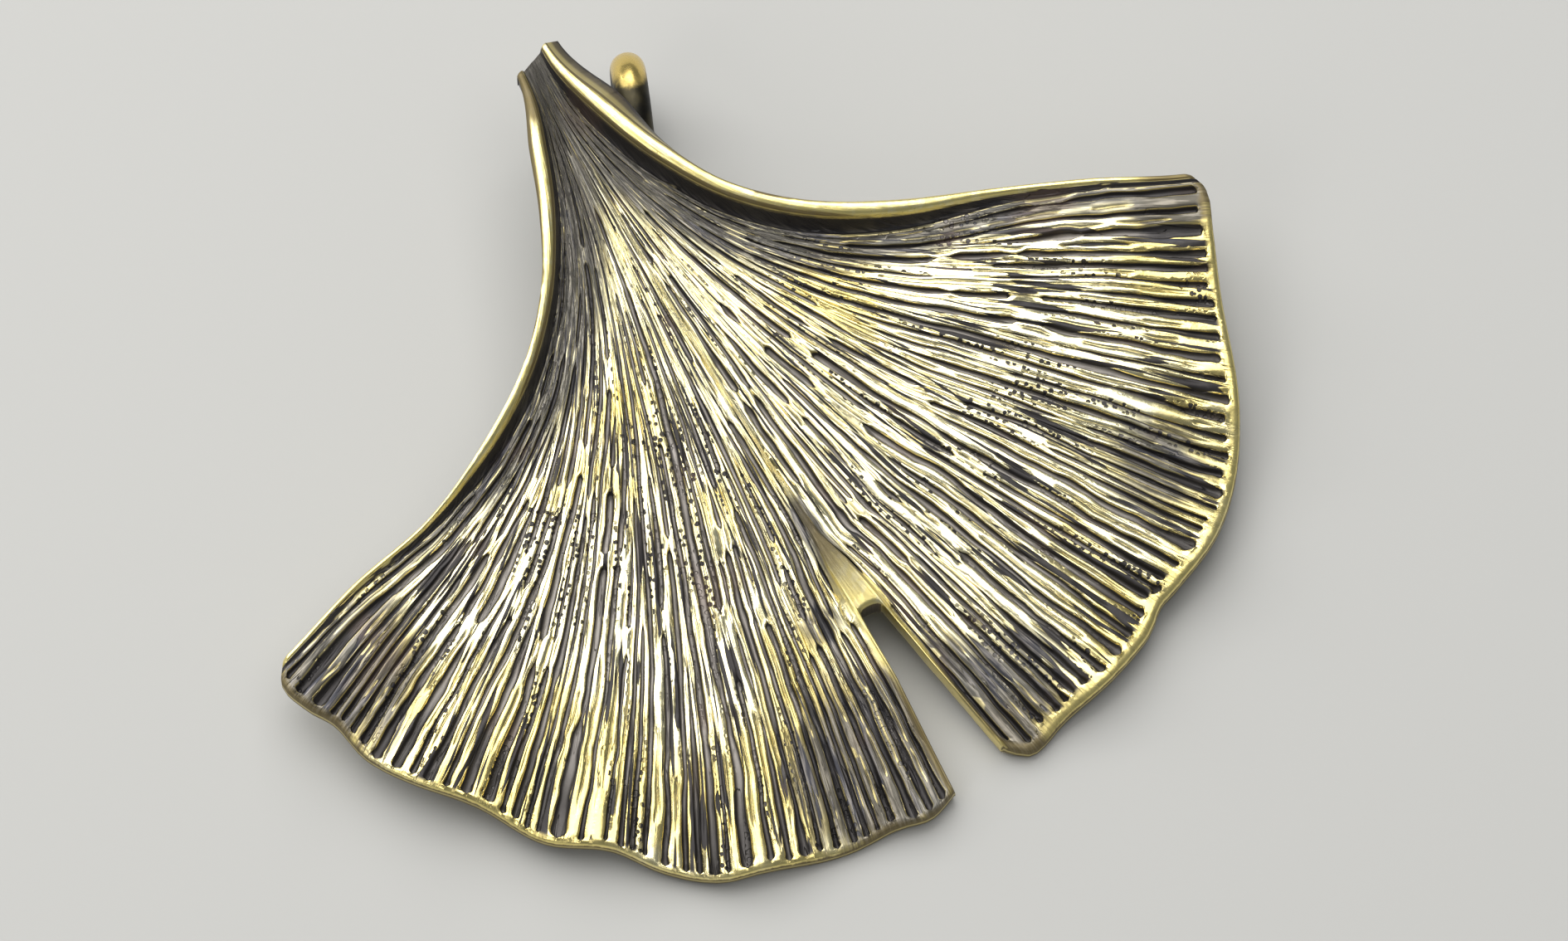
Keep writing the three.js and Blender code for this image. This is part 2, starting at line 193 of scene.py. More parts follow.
LEFT_LOBE = LobeSizes(
    side=Side.LEFT,
    edge=(
        (-30.7, 4.4), (-31.4, 3.2), (-30.8, 1.4), (-29.9, 0.0), (-29.3, -2.6), (-27.7, -5.4),
        (-25.1, -8.4), (-22.9, -12.0), (-19.9, -14.3), (-18.0, -16.6), (-15.4, -18.8),
        (-13.1, -19.6), (-8.4, -20.9), (-5.3, -21.2), (-3.2, -21.7), (-1.3, -21.1),
    ),
    bow=(0.0, 0.95, 0.75, 0.0, -0.65, -0.85, -0.8, 0.0, 0.0),
    flare=(-0.1, -0.25, -0.4, -0.4, -0.35, -0.2, 0.0, 0.1, 0.0),
    inset=(0.6, 0.9, 1.3, 1.4, 1.3, 1.0, 0.7, 0.6, 0.6),
    ridges=42,
    waves=4.5,
    seed=11,
    fineness=(0.25, 0.15, 0.15, 0.25, 0.15),
    end_from_edge=(0.2, 0.42),
)
RIGHT_LOBE = LobeSizes(
    side=Side.RIGHT,
    edge=(
        (29.3, 2.6), (29.6, 1.4), (28.7, -0.8), (27.3, -4.0), (24.7, -10.3), (22.5, -13.5),
        (19.3, -16.2), (15.9, -17.5), (14.6, -17.9), (13.3, -18.9), (9.8, -20.2), (6.4, -20.7),
        (3.9, -21.3), (2.5, -20.3),
    ),
    bow=(0.0, 0.95, 0.9, 0.3, 0.15, 0.45, 0.95, 0.8, 0.0),
    flare=(0.9, 1.25, 0.5, 0.25, 0.15, 0.15, 0.15, 0.1, 0.0),
    inset=(0.4, 0.5, 0.6, 0.6, 0.6, 0.6, 0.6, 0.6, 0.6),
    ridges=36,
    waves=4.0,
    seed=23,
    fineness=(0.5, 0.5, 0.4, 0.25, 0.1),
    end_from_edge=(0.48, 0.88),
    wide_grooves=((31, 0.7), (32, 1.3), (28, 0.6)),
)


@dataclass(frozen=True)
class SoftSpot:
    """A round place in the plan whose effect dies out from its middle (mm).

    Attributes:
        x: The middle's x in the layout.
        y: Its y.
        radius: Distance over which the effect dies out.
        amount: The effect at the middle.
    """

    x: float
    y: float
    radius: float
    amount: float

    def at(self, x: np.ndarray, y: np.ndarray) -> np.ndarray:
        """Gives the effect at each place."""
        away = np.hypot(x - self.x, y - self.y) / self.radius
        return self.amount * np.exp(-(away**2))


@dataclass(frozen=True)
class SheetSizes:
    """Sizes in mm that both lobes share. A list at equal steps runs from the stem to the corner.

    Attributes:
        face_height: Height of the face at the layout's middle.
        slope: Slope of the face to +X and to +Y.
        sheet_thickness: Thickness of the fan.
        stem_thickness: Thickness at the stem's cut end.
        stem_cut: Ends of the oblique cut across the stem, left and right.
        stem_aim: Where the veins head for as they leave the stem.
        stem_aim_spread: How far the outermost veins' aims lie from it.
        fan_aim_share: How far out from the middle the veins' last aims lie, as a share.
        fan_aim_shift: How far those aims are moved.
        rim_height: Height of the side rims, at equal steps.
        rim_width: Width of the side rims, at equal steps.
        rim_foot: Width of the rims' inner wall.
        channel_depth: Depth of the hollow inside the rims.
        channel_width: Distance from the rim over which it dies out.
        channel_rise: Place along by which it is fully there.
        channel_reach: Places along between which it ends.
        slit_line: Middle of the slit and of the seam above it, as y and x.
        slit_half_width: Half width of the slit and the seam, as y and half width.
        slit_apex: Place along of the slit's inner end.
        slit_rim_height: Height of the thin rims beside the slit.
        slit_rim_width: Their width.
        gusset_height: Height of the fold above the slit.
        wave_height: Height of the waves along the outer edge.
        inset_limit: Greatest inset of the back, as a share of the lobe's width.
        droops: Places where the fan sinks, by how many mm.
        stains_and_shade: Places where the tops are darkened too, and how much: tarnish at the corners,
            painted shade beside the slit and on the right lobe.
        pitted: Places with more casting pits than elsewhere, and how much.
    """

    face_height: float = 5.3
    slope: tuple[float, float] = (0.03, 0.17)
    sheet_thickness: float = 1.2
    stem_thickness: float = 1.9
    stem_cut: Pairs = ((-2.0, 26.8), (0.5, 27.7))
    stem_aim: tuple[float, float] = (-1.5, 14.0)
    stem_aim_spread: float = 1.0
    fan_aim_share: float = 0.48
    fan_aim_shift: tuple[float, float] = (-0.5, 6.3)
    rim_height: tuple[float, ...] = (0.55, 1.2, 1.5, 1.5, 1.5, 1.35, 0.7, 0.45, 0.25)
    rim_width: tuple[float, ...] = (0.5, 0.65, 0.8, 0.85, 0.9, 0.85, 0.5, 0.42, 0.36)
    rim_foot: float = 0.26
    channel_depth: float = 1.0
    channel_width: float = 3.2
    channel_rise: float = 0.13
    channel_reach: tuple[float, float] = (0.45, 0.85)
    slit_line: Pairs = (
        (26.8, -0.9), (11.0, -1.05), (-4.5, -0.7), (-10.3, -0.1), (-14.0, 0.2), (-20.8, 0.6),
    )
    slit_half_width: Pairs = (
        (26.8, 0.03), (0.0, 0.05), (-4.6, 0.12), (-6.6, 0.5), (-10.3, 0.74), (-14.0, 1.04), (-20.8, 1.9),
    )
    slit_apex: float = 0.79
    slit_rim_height: float = 0.25
    slit_rim_width: float = 0.24
    gusset_height: float = 0.45
    wave_height: float = 0.35
    inset_limit: float = 0.4
    droops: tuple[SoftSpot, ...] = (
        SoftSpot(23.5, -12.5, 6.5, 0.9),
        SoftSpot(-3.5, -19.0, 5.0, 0.4),
        SoftSpot(4.6, -21.0, 4.0, 0.4),
        SoftSpot(-30.0, 1.0, 5.0, 0.5),
    )
    # The first two and the last are tarnish at the corners; the others are painted shade beside the slit and
    # on the right lobe.
    stains_and_shade: tuple[SoftSpot, ...] = (
        SoftSpot(23.4, 5.4, 3.2, 0.85),
        SoftSpot(27.6, 2.6, 3.3, 1.15),
        SoftSpot(18.6, -10.8, 4.0, 0.8),
        SoftSpot(17.8, -6.0, 4.0, 0.38),
        SoftSpot(-4.5, -17.8, 6.5, 0.95),
        SoftSpot(-2.9, -9.2, 1.8, 0.75),
        SoftSpot(4.2, -17.5, 4.6, 0.8),
        SoftSpot(-28.2, 2.4, 6.5, 0.9),
    )
    pitted: tuple[SoftSpot, ...] = (
        SoftSpot(-5.0, 4.8, 1.6, 0.5),
        SoftSpot(-4.8, 1.8, 1.7, 0.5),
        SoftSpot(-9.0, -2.0, 2.6, 0.35),
        SoftSpot(15.5, 6.9, 1.3, 0.5),
        SoftSpot(14.5, -3.2, 2.4, 0.35),
        SoftSpot(26.0, -3.5, 1.6, 0.4),
    )


class LobeLayout:
    """Places of one lobe, in plan and in height (mm)."""

    EDGE_STEPS: ClassVar[int] = 24
    NORMAL_STEP: ClassVar[float] = 0.004
    SPEED_STEP: ClassVar[float] = 0.02

    def __init__(self, sizes: LobeSizes, sheet: SheetSizes) -> None:
        """Lays out one lobe.

        Args:
            sizes: The lobe's own sizes.
            sheet: The sizes that both lobes share.
        """
        self.sizes = sizes
        self.sheet = sheet
        self.sign = sizes.side.value
        self.edge_line = self._smooth_edge()
        steps = np.linalg.norm(np.diff(self.edge_line, axis=0), axis=1)
        self.edge_run = np.r_[0.0, np.cumsum(steps)]

    def _smooth_edge(self) -> np.ndarray:
        """Draws a smooth line through the points of the outer edge.

        Returns:
            Points close together along the edge (n x 2).
        """
        points = np.asarray(self.sizes.edge)
        points = np.vstack([2 * points[0] - points[1], points, 2 * points[-1] - points[-2]])
        t = np.linspace(0, 1, self.EDGE_STEPS, endpoint=False)[:, None]
        pieces = []
        for p0, p1, p2, p3 in zip(points, points[1:], points[2:], points[3:]):
            d0, d1, d2 = (math.sqrt(np.linalg.norm(b - a)) for a, b in ((p0, p1), (p1, p2), (p2, p3)))
            leave = ((p1 - p0) / d0 - (p2 - p0) / (d0 + d1) + (p2 - p1) / d1) * d1
            arrive = ((p2 - p1) / d1 - (p3 - p1) / (d1 + d2) + (p3 - p2) / d2) * d1
            pieces.append(cubic(t, p1, p2, leave, arrive))
        return np.vstack([*pieces, points[-2]])

    def plain_vein(self, across: np.ndarray, along: np.ndarray) -> tuple[np.ndarray, np.ndarray]:
        """Plain vein curve, before the sides and the slit are fitted.

        Args:
            across: Place across the lobe.
            along: Place along the vein.

        Returns:
            The x and the y of each place.
        """
        sheet = self.sheet
        run = across * self.edge_run[-1]
        turn = self.sign * (1 - across)
        blend = (turn + 1) / 2
        rest = 1 - along
        w0, w1, w2, w3 = rest**3, 3 * rest**2 * along, 3 * rest * along**2, along**3
        aims = (sheet.stem_aim[0] + sheet.stem_aim_spread * turn, sheet.stem_aim[1])
        place = []
        for axis in (0, 1):
            end = np.interp(run, self.edge_run, self.edge_line[:, axis])
            left, right = sheet.stem_cut[0][axis], sheet.stem_cut[1][axis]
            fan = sheet.fan_aim_share * end + sheet.fan_aim_shift[axis]
            place.append(w0 * (left + (right - left) * blend) + w1 * aims[axis] + w2 * fan + w3 * end)
        return place[0], place[1]

    def side_normal(self, along: np.ndarray) -> tuple[np.ndarray, np.ndarray]:
        """Unit direction in plan that points out of the leaf at its side.

        Args:
            along: Place along the vein.

        Returns:
            The x and the y of the direction.
        """
        rim = np.zeros_like(along)
        ahead = np.array(self.plain_vein(rim, np.minimum(along + self.NORMAL_STEP, 1)))
        run_x, run_y = ahead - np.array(self.plain_vein(rim, np.maximum(along - self.NORMAL_STEP, 0)))
        length = np.hypot(run_x, run_y)
        return -self.sign * run_y / length, self.sign * run_x / length

    def plan(self, across: np.ndarray, along: np.ndarray) -> tuple[np.ndarray, np.ndarray]:
        """Plan position of each place.

        Args:
            across: Place across the lobe.
            along: Place along the vein.

        Returns:
            The x and the y of each place.
        """
        x, y = self.plain_vein(across, along)
        normal_x, normal_y = self.side_normal(along)
        bow = sample_list(self.sizes.bow, along) * (1 - across) ** 4
        slit_x, slit_y = self.plain_vein(np.ones_like(along), along)
        line = np.asarray(self.sheet.slit_line)[::-1]
        half = np.asarray(self.sheet.slit_half_width)[::-1]
        centring = smoothstep(along, 0, 0.1) * (np.interp(slit_y, line[:, 0], line[:, 1]) - slit_x)
        shift = centring + self.sign * np.interp(slit_y, half[:, 0], half[:, 1])
        return x + normal_x * bow + shift * across**3, y + normal_y * bow

    def width(self, along: np.ndarray) -> np.ndarray:
        """Width of the lobe in mm, from its side to the slit."""
        side, slit = (np.array(self.plan(np.full_like(along, across), along)) for across in (0.0, 1.0))
        return np.hypot(*(slit - side))

    def speed(self, across: np.ndarray) -> np.ndarray:
        """Length in mm of a whole step of along, measured next to the outer edge."""
        near = np.array(self.plan(across, np.full_like(across, 1 - self.SPEED_STEP)))
        end = np.array(self.plan(across, np.ones_like(across)))
        return np.hypot(*(end - near)) / self.SPEED_STEP

    def face(self, across: np.ndarray, along: np.ndarray, x: np.ndarray, y: np.ndarray) -> np.ndarray:
        """Height of the smooth face without the hollow inside the rims.

        Args:
            across: Place across the lobe.
            along: Place along the vein.
            x: The place's x in plan.
            y: Its y in plan.

        Returns:
            The height of each place.
        """
        sheet = self.sheet
        height = sheet.face_height + sheet.slope[0] * x + sheet.slope[1] * y
        height = height + sheet.wave_height * along**5 * np.sin(2 * np.pi * self.sizes.waves * across)
        for droop in sheet.droops:
            height = height - droop.at(x, y)
        return height

    def channel(self, across: np.ndarray, along: np.ndarray) -> np.ndarray:
        """Depth of the hollow inside the rims.

        Args:
            across: Place across the lobe.
            along: Place along the vein.

        Returns:
            The depth of each place.
        """
        sheet = self.sheet
        fade = smoothstep(along, 0, sheet.channel_rise) * (1 - smoothstep(along, *sheet.channel_reach))
        return sheet.channel_depth * fade * np.exp(-((across * self.width(along) / sheet.channel_width) ** 2))

    def thickness(self, along: np.ndarray) -> np.ndarray:
        """Thickness of the sheet."""
        share = smoothstep(along, 0.05, 0.3)
        return self.sheet.stem_thickness + (self.sheet.sheet_thickness - self.sheet.stem_thickness) * share


@dataclass(frozen=True)
class RowPlan:
    """Rows of vertices from the stem to the outer edge.

    Attributes:
        inner: Number of rows up to the last few mm.
        crowding: How much the inner rows crowd towards the edge.
        edge_band: Width in mm of the band at the outer edge where rows are closer.
        edge: Number of rows in that band.
        edge_crowding: Power by which they crowd towards the edge.
        edge_gap: Distance in mm that the last row keeps from the edge.
    """

    inner: int = 128
    crowding: float = 0.09
    edge_band: float = 3.0
    edge: int = 30
    edge_crowding: float = 1.15
    edge_gap: float = 0.06

    def along(self, layout: LobeLayout, across: np.ndarray) -> np.ndarray:
        """Place along the vein of each row.

        Args:
            layout: The lobe's layout.
            across: Place across the lobe of each column.

        Returns:
            The places (rows x columns).
        """
        speed = layout.speed(across)[None, :]
        share = np.linspace(0, 1, self.inner, endpoint=False)[:, None]
        share = share + self.crowding * np.sin(np.pi * share) * share
        inner = share * (1 - self.edge_band / speed)
        t = np.linspace(0, 1, self.edge)[:, None]
        from_edge = self.edge_band * (1 - t) ** self.edge_crowding + self.edge_gap * t
        return np.vstack([inner, 1 - from_edge / speed])


# ------------------------------------------------------------------ ridges and grooves


@dataclass(frozen=True)
class GrooveSizes:
    """Sizes of the grooves between the ridges, in mm unless a share is named.

    Attributes:
        scatter: How far a groove is off its even place, as a share of the spacing.
        births: Ranges of the place along where grooves start, from the latest forks to the first.
        fork: Place along that a fork takes to open.
        room: Least and greatest room of a groove, as a share of the even room.
        evening: Share of the drift of nine neighbours that is taken back.
        shared_wander: Wander that neighbours share, as a share of the lobe, and its step.
        own_wander: Amounts and steps of each groove's own wander, as shares of its room.
        depth: Depth of a wide groove.
        full_depth_half_width: Half width from which a groove has that depth.
        half_width: Least and greatest half width.
        least_half_width: Half width that is left where a groove has closed.
        width_drifts: Amounts and steps by which the half width changes along the groove.
        break_step: Length over which grooves close and open again in the middle of the fan.
        end_ball: Least and greatest length of the round end, in half widths.
        shoulder_tilt: How far the two shoulders of a ridge differ in height.
        hair_half_width: Half width of the hairline along a ridge's top.
        hair_depth: Its depth.
        crown: How far a ridge's top stands over its shoulders.
    """

    scatter: float = 0.16
    births: Pairs = ((0.46, 0.78), (0.3, 0.5), (0.14, 0.32), (0.0, 0.14))
    fork: float = 0.12
    room: tuple[float, float] = (0.5, 1.5)
    evening: float = 0.9
    shared_wander: tuple[float, float] = (0.25, 11.0)
    own_wander: Pairs = ((0.09, 3.0), (0.04, 1.1))
    depth: float = 0.5
    full_depth_half_width: float = 0.16
    half_width: tuple[float, float] = (0.13, 0.35)
    least_half_width: float = 0.012
    width_drifts: Pairs = ((0.45, 4.5), (0.18, 0.9))
    break_step: float = 2.4
    end_ball: tuple[float, float] = (1.0, 1.35)
    shoulder_tilt: float = 0.05
    hair_half_width: float = 0.06
    hair_depth: float = 0.24
    crown: float = 0.03


@dataclass
class NetOfPlaces:
    """Everything that is known about each vertex of one lobe's face (rows x columns).

    Attributes:
        across: Place across the lobe.
        along: Place along the vein.
        lift: Height over the smooth face, in mm.
        rim: 1 on the side rim, 0 on the fan, between them on the rim's inner wall.
        groove: 0 on the ridges' tops, 1 at the bottom of a groove.
        burnish: 1 where the metal is rubbed bright and smooth.
        beside: 1 in and beside a groove, 0 from a third of a mm away from it.
        lateral: Place across the veins, counted in ridges.
    """

    across: np.ndarray
    along: np.ndarray
    lift: np.ndarray
    rim: np.ndarray
    groove: np.ndarray
    burnish: np.ndarray
    beside: np.ndarray
    lateral: np.ndarray


class GroovedFan:
    """The ridges and grooves of one lobe.

    A profile lists columns of vertices: the share of the width where each lies, and how far the surface
    falls or rises there.
    """

    RIM_PROFILE: ClassVar[Pairs] = ((0.0, -0.34), (0.08, -0.17), (0.2, -0.06), (0.38, 0.01), (0.58, 0.01),
                                    (0.78, -0.06), (0.91, -0.17), (1.0, -0.34))
    WALL_PROFILE: ClassVar[Pairs] = ((0.3, 0.35), (0.62, 0.8), (0.85, 0.97))
    GROOVE_PROFILE: ClassVar[Pairs] = ((-1.2, 0.0), (-1.0, 0.1), (-0.78, 0.8), (-0.36, 1.0), (0.36, 1.0),
                                       (0.78, 0.8), (1.0, 0.1), (1.2, 0.0))
    SLIT_PROFILE: ClassVar[Pairs] = ((0.12, 0.1), (0.4, 0.85), (0.6, 1.0), (0.82, 0.95), (0.95, 0.6),
                                     (1.0, 0.1))
    SHOULDER: ClassVar[float] = 1.2
    SHARED_KNOTS: ClassVar[int] = 6
    NEIGHBOURS: ClassVar[int] = 9

    def __init__(self, layout: LobeLayout, grooves: GrooveSizes, rows: RowPlan) -> None:
        """Prepares the grooves of one lobe.

        Args:
            layout: The lobe's layout.
            grooves: Sizes of the grooves.
            rows: The rows of vertices, from the stem to the outer edge.
        """
        self.layout = layout
        self.grooves = grooves
        self.rows = rows
        self.uneven = Unevenness(layout.sizes.seed)
        self.count = layout.sizes.ridges
        scatter = self.uneven.spread(self.count, -grooves.scatter, grooves.scatter)
        self.nominal = (np.arange(self.count) + 0.5 + scatter) / self.count
        self.along, self.from_edge = self._rows_at(self.nominal)
        width = layout.width(self.along)
        _, start, end = self._field_ends(self.along, width)
        self.field_width = width * (end - start)

    def build(self) -> NetOfPlaces:
        """Lays the columns of vertices along the walls and tops of the ridges.

        Returns:
            The net of the whole lobe, from the side rim to the slit.
        """
        births = self._births()[None, :]
        centre = self._centres(births)
        half, stop = self._half_widths(births, centre)
        return self._assemble(self._columns(centre, half, stop))

    def _rows_at(self, across: np.ndarray) -> tuple[np.ndarray, np.ndarray]:
        """Place along of each row, and its distance from the outer edge in mm."""
        along = self.rows.along(self.layout, across)
        return along, (1 - along) * self.layout.speed(across)[None, :]

    def _births(self) -> np.ndarray:
        """Where each groove starts along the veins: ridges fork in pairs towards the edge.

        Returns:
            One place along for each groove.
        """
        first_forks = len(self.grooves.births) - 1
        starts = np.empty(self.count)
        for k in range(self.count):
            number = k + 3
            level = 0
            while number % 2 == 0 and level < first_forks:
                number //= 2
                level += 1
            level = first_forks if k >= self.count - 2 else level
            starts[k] = self.uneven.spread(1, *self.grooves.births[level])[0]
        return starts

    def _centres(self, births: np.ndarray) -> np.ndarray:
        """Finds the middle of each groove, as a place across the field.

        Args:
            births: Where each groove starts.

        Returns:
            The middles (rows x grooves).
        """
        sizes, count, half_window = self.grooves, self.count, self.NEIGHBOURS // 2

        # A ridge forks where a new groove starts, and its neighbours make room for it.
        room = 0.1 + 0.9 * smoothstep(self.along, births - 0.05, births + sizes.fork)
        room = room * self.uneven.spread(count, *sizes.room)[None, :]
        cell = room / room.sum(axis=1, keepdims=True)
        centre = np.cumsum(cell, axis=1) - cell / 2
        shift = centre - (np.arange(count) + 0.5) / count
        shift = np.pad(shift, ((0, 0), (half_window, half_window)), mode="edge")
        sums = np.cumsum(np.pad(shift, ((0, 0), (1, 0))), axis=1)
        moving_sum = sums[:, self.NEIGHBOURS:] - sums[:, :-self.NEIGHBOURS]
        centre = centre - sizes.evening * moving_sum / self.NEIGHBOURS

        # Neighbouring veins wander together, and each a little by itself.
        amount, step = sizes.shared_wander
        _, base_edge = self._rows_at(np.array([0.5]))
        together = self.uneven.drift(np.repeat(base_edge, self.SHARED_KNOTS, axis=1), step)
        knots = np.linspace(0, 1, self.SHARED_KNOTS)
        wander = amount * np.stack([np.interp(self.nominal, knots, row) for row in together])
        for amount, step in sizes.own_wander:
            wander = wander + amount * (self.uneven.drift(self.from_edge, step) * cell * count)
        return centre + wander * smoothstep(self.from_edge, -2.0, 5.0) / count

    def _half_widths(self, births: np.ndarray, centre: np.ndarray) -> tuple[np.ndarray, np.ndarray]:
        """Half widths in mm, cut off round at the outer end and drawn out to a point at the inner one.

        Args:
            births: Where each groove starts.
            centre: Its middle.

        Returns:
            The half widths, and the distance from each groove's end to the outer edge.
        """
        sizes, lobe, from_edge = self.grooves, self.layout.sizes, self.from_edge
        half = self.uneven.spread(self.count, *sizes.half_width)[None, :]
        for amount, step in sizes.width_drifts:
            half = half * (1 + amount * self.uneven.drift(from_edge, step))
        fine = np.interp(self.nominal, np.linspace(0, 1, len(lobe.fineness)), lobe.fineness)
        half = half * (1 - fine[None, :] * smoothstep(from_edge, 1.5, 4.5))
        middle = smoothstep(from_edge, 5.0, 10.0)
        broken = smoothstep(self.uneven.drift(from_edge, sizes.break_step), -0.66 - 0.4 * (1 - middle), -0.42)
        fork = smoothstep(self.along, births, births + sizes.fork)
        half = half * (fork * (broken * middle + (1 - middle)))
        for groove, widening in lobe.wide_grooves:
            stretch = smoothstep(self.along[:, groove], 0.36, 0.46)
            half[:, groove] *= 1 + widening * (stretch * (1 - smoothstep(self.along[:, groove], 0.68, 0.78)))
        half = half + sizes.least_half_width

        stop = self.uneven.spread(self.count, *lobe.end_from_edge)[None, :]
        ball = self.uneven.spread(self.count, *sizes.end_ball)[None, :] * np.maximum(half, 0.1)
        inside = from_edge - stop
        swell = 1 + 0.25 * np.exp(-(((inside - ball) / 0.22) ** 2))
        roundness = np.sqrt(np.clip(1 - (np.clip(ball - inside, 0, None) / ball) ** 2, 0, 1))
        half = np.maximum(half * swell * roundness, sizes.least_half_width)

        # A groove is never wider than the room between its neighbours.
        room = 0.66 * (np.diff(centre, axis=1) * self.field_width[:, :-1])
        squeeze = np.minimum(room / (self.SHOULDER * (half[:, :-1] + half[:, 1:])), 1.0)
        free = np.ones((len(half), 1))
        half = half * np.minimum(np.hstack([free, squeeze]), np.hstack([squeeze, free]))
        edge_room = 0.7 * np.minimum(centre[:, 0], 1 - centre[:, -1]) * self.field_width[:, 0]
        for k in (0, -1):
            half[:, k] = np.minimum(half[:, k], edge_room / self.SHOULDER)
        return half, stop

    def _columns(self, centre: np.ndarray, half: np.ndarray, stop: np.ndarray) -> np.ndarray:
        """Sets the columns of vertices of the ridges' tops and the grooves.

        Args:
            centre: Middle of each groove across the field.
            half: Its half width in mm.
            stop: Distance from its end to the outer edge.

        Returns:
            The place across the field, lift, groove, burnish and beside of each column (5 x rows x columns).
        """
        sizes, from_edge = self.grooves, self.from_edge
        depth = sizes.depth * np.minimum(half / sizes.full_depth_half_width, 1.0)
        depth = depth * (0.85 + 0.2 * self.uneven.drift(from_edge, 2.0))
        depth = depth * smoothstep(from_edge - stop, -0.02, 0.06)
        smooth_lip = 1 - smoothstep(from_edge, stop - 0.25, stop + 0.1)

        # Heights of the two shoulders of each ridge differ a little, so that ridges catch the light apart.
        tilts = [sizes.shoulder_tilt * self.uneven.drift(from_edge, 2.4) * (1 - smooth_lip) for _ in range(2)]
        hair_presence = smoothstep(self.uneven.drift(from_edge, 2.0), -0.4, 0.0)
        hair_presence = hair_presence * smoothstep(from_edge, 1.4, 3.4)

        columns = []
        flat = np.zeros_like(half[:, 0])
        previous_right = flat
        for k in range(self.count):
            reach = half[:, k] / self.field_width[:, k]
            gap = centre[:, k] - self.SHOULDER * reach - previous_right
            gap_mm = gap * self.field_width[:, k]
            hair = np.minimum(sizes.hair_half_width / self.field_width[:, k], 0.2 * gap)
            hair_depth = hair_presence[:, k] * smoothstep(gap_mm, 0.16, 0.4)
            middle = previous_right + gap * (0.5 + 0.14 * math.sin(7.3 * k))
            crown = sizes.crown * smoothstep(gap_mm, 0.1, 0.6)
            lip = 0.8 * smooth_lip[:, k]
            near = np.clip(1 - 0.5 * gap_mm / 0.3, 0, 1)
            columns.append((middle - hair, crown, flat, lip, near))
            columns.append((middle, crown - sizes.hair_depth * hair_depth, hair_depth * 0.45, lip, near))
            columns.append((middle + hair, crown, flat, lip, near))
            in_groove = smoothstep(depth[:, k], 0.02, 0.16)
            for share, fall in self.GROOVE_PROFILE:
                lift = tilts[int(share > 0)][:, k] * (1 - fall) - depth[:, k] * fall
                columns.append((centre[:, k] + share * reach, lift, fall * in_groove, lip, in_groove))
            previous_right = centre[:, k] + self.SHOULDER * reach
        return np.stack([np.stack(column) for column in columns], axis=2)

    def _field_ends(self, along: np.ndarray, width: np.ndarray) -> tuple[np.ndarray, np.ndarray, np.ndarray]:
        """Where the rim ends, where the grooves start and where they end, all across the lobe.

        Args:
            along: Place along the vein.
            width: Width of the lobe there, in mm.

        Returns:
            The three places across.
        """
        sheet = self.layout.sheet
        rim_share = np.minimum(sample_list(sheet.rim_width, along) / width, 0.35)
        start = rim_share + np.minimum(sheet.rim_foot / width, 0.12)
        slit_rim = sheet.slit_rim_width * (0.12 + 0.88 * smoothstep(along, 0.62, sheet.slit_apex))
        return rim_share, start, 1 - np.minimum(slit_rim / width, 0.12)

    def _assemble(self, columns: np.ndarray) -> NetOfPlaces:
        """Sets the field between the side rim and the slit's thin rim.

        Args:
            columns: Columns of the field.

        Returns:
            The net of the whole lobe.
        """
        layout, sheet, field_place = self.layout, self.layout.sheet, columns[0]
        rim_count, first = len(self.RIM_PROFILE), len(self.RIM_PROFILE) + len(self.WALL_PROFILE)
        last = first + field_place.shape[1]
        guess = np.clip(field_place.mean(axis=0), 0, 1)
        steady = np.concatenate([np.zeros(first), guess, np.ones(len(self.SLIT_PROFILE))])
        along, from_edge = self._rows_at(steady)
        width = layout.width(along)
        rim_share, start, end = self._field_ends(along, width)

        layers = np.zeros((5, *along.shape))
        across, lift, groove, burnish, beside = layers
        rim = np.zeros_like(along)
        rim_top = sample_list(sheet.rim_height, along)
        edge_fade = 0.35 + 0.65 * smoothstep(from_edge, 0.0, 0.5)
        for j, (share, fall) in enumerate(self.RIM_PROFILE):
            across[:, j] = rim_share[:, j] * share
            lift[:, j] = rim_top[:, j] * edge_fade[:, j] + fall * np.minimum(rim_top[:, j] / 0.9, 1.0)
            rim[:, j] = burnish[:, j] = 1.0
        for j, (share, fall) in enumerate(self.WALL_PROFILE, start=rim_count):
            across[:, j] = rim_share[:, j] + (start[:, j] - rim_share[:, j]) * share
            lift[:, j] = rim_top[:, j] * (1 - fall) * edge_fade[:, j]
            rim[:, j] = 1.0 - fall
            groove[:, j] = 0.4 + 0.6 * fall
        calm = np.maximum(np.interp(along, (0.3, 1.0), (0.95, 0.6)) - sample_list(sheet.rim_width, along), 0)
        calm = (calm * smoothstep(along, 0.3, 0.5) / width)[:, first:last] * (1 - np.exp(-field_place / 0.07))
        field_start = start[:, first:last] + calm
        layers[1:, :, first:last] = columns[1:]
        across[:, first:last] = field_start + (end[:, first:last] - field_start) * field_place
        for j, (share, rise) in enumerate(self.SLIT_PROFILE, start=last):
            across[:, j] = end[:, j] + (1 - end[:, j]) * share
            rising = 0.3 + 0.7 * smoothstep(along[:, j], 0.55, sheet.slit_apex)
            lift[:, j] = sheet.slit_rim_height * rise * rising
            burnish[:, j] = smoothstep(along[:, j], sheet.slit_apex - 0.1, sheet.slit_apex)
        lift, groove, burnish = self._gusset(across, along, lift, groove, burnish)
        return NetOfPlaces(across, along, lift, rim, groove, burnish, beside, across * self.count)

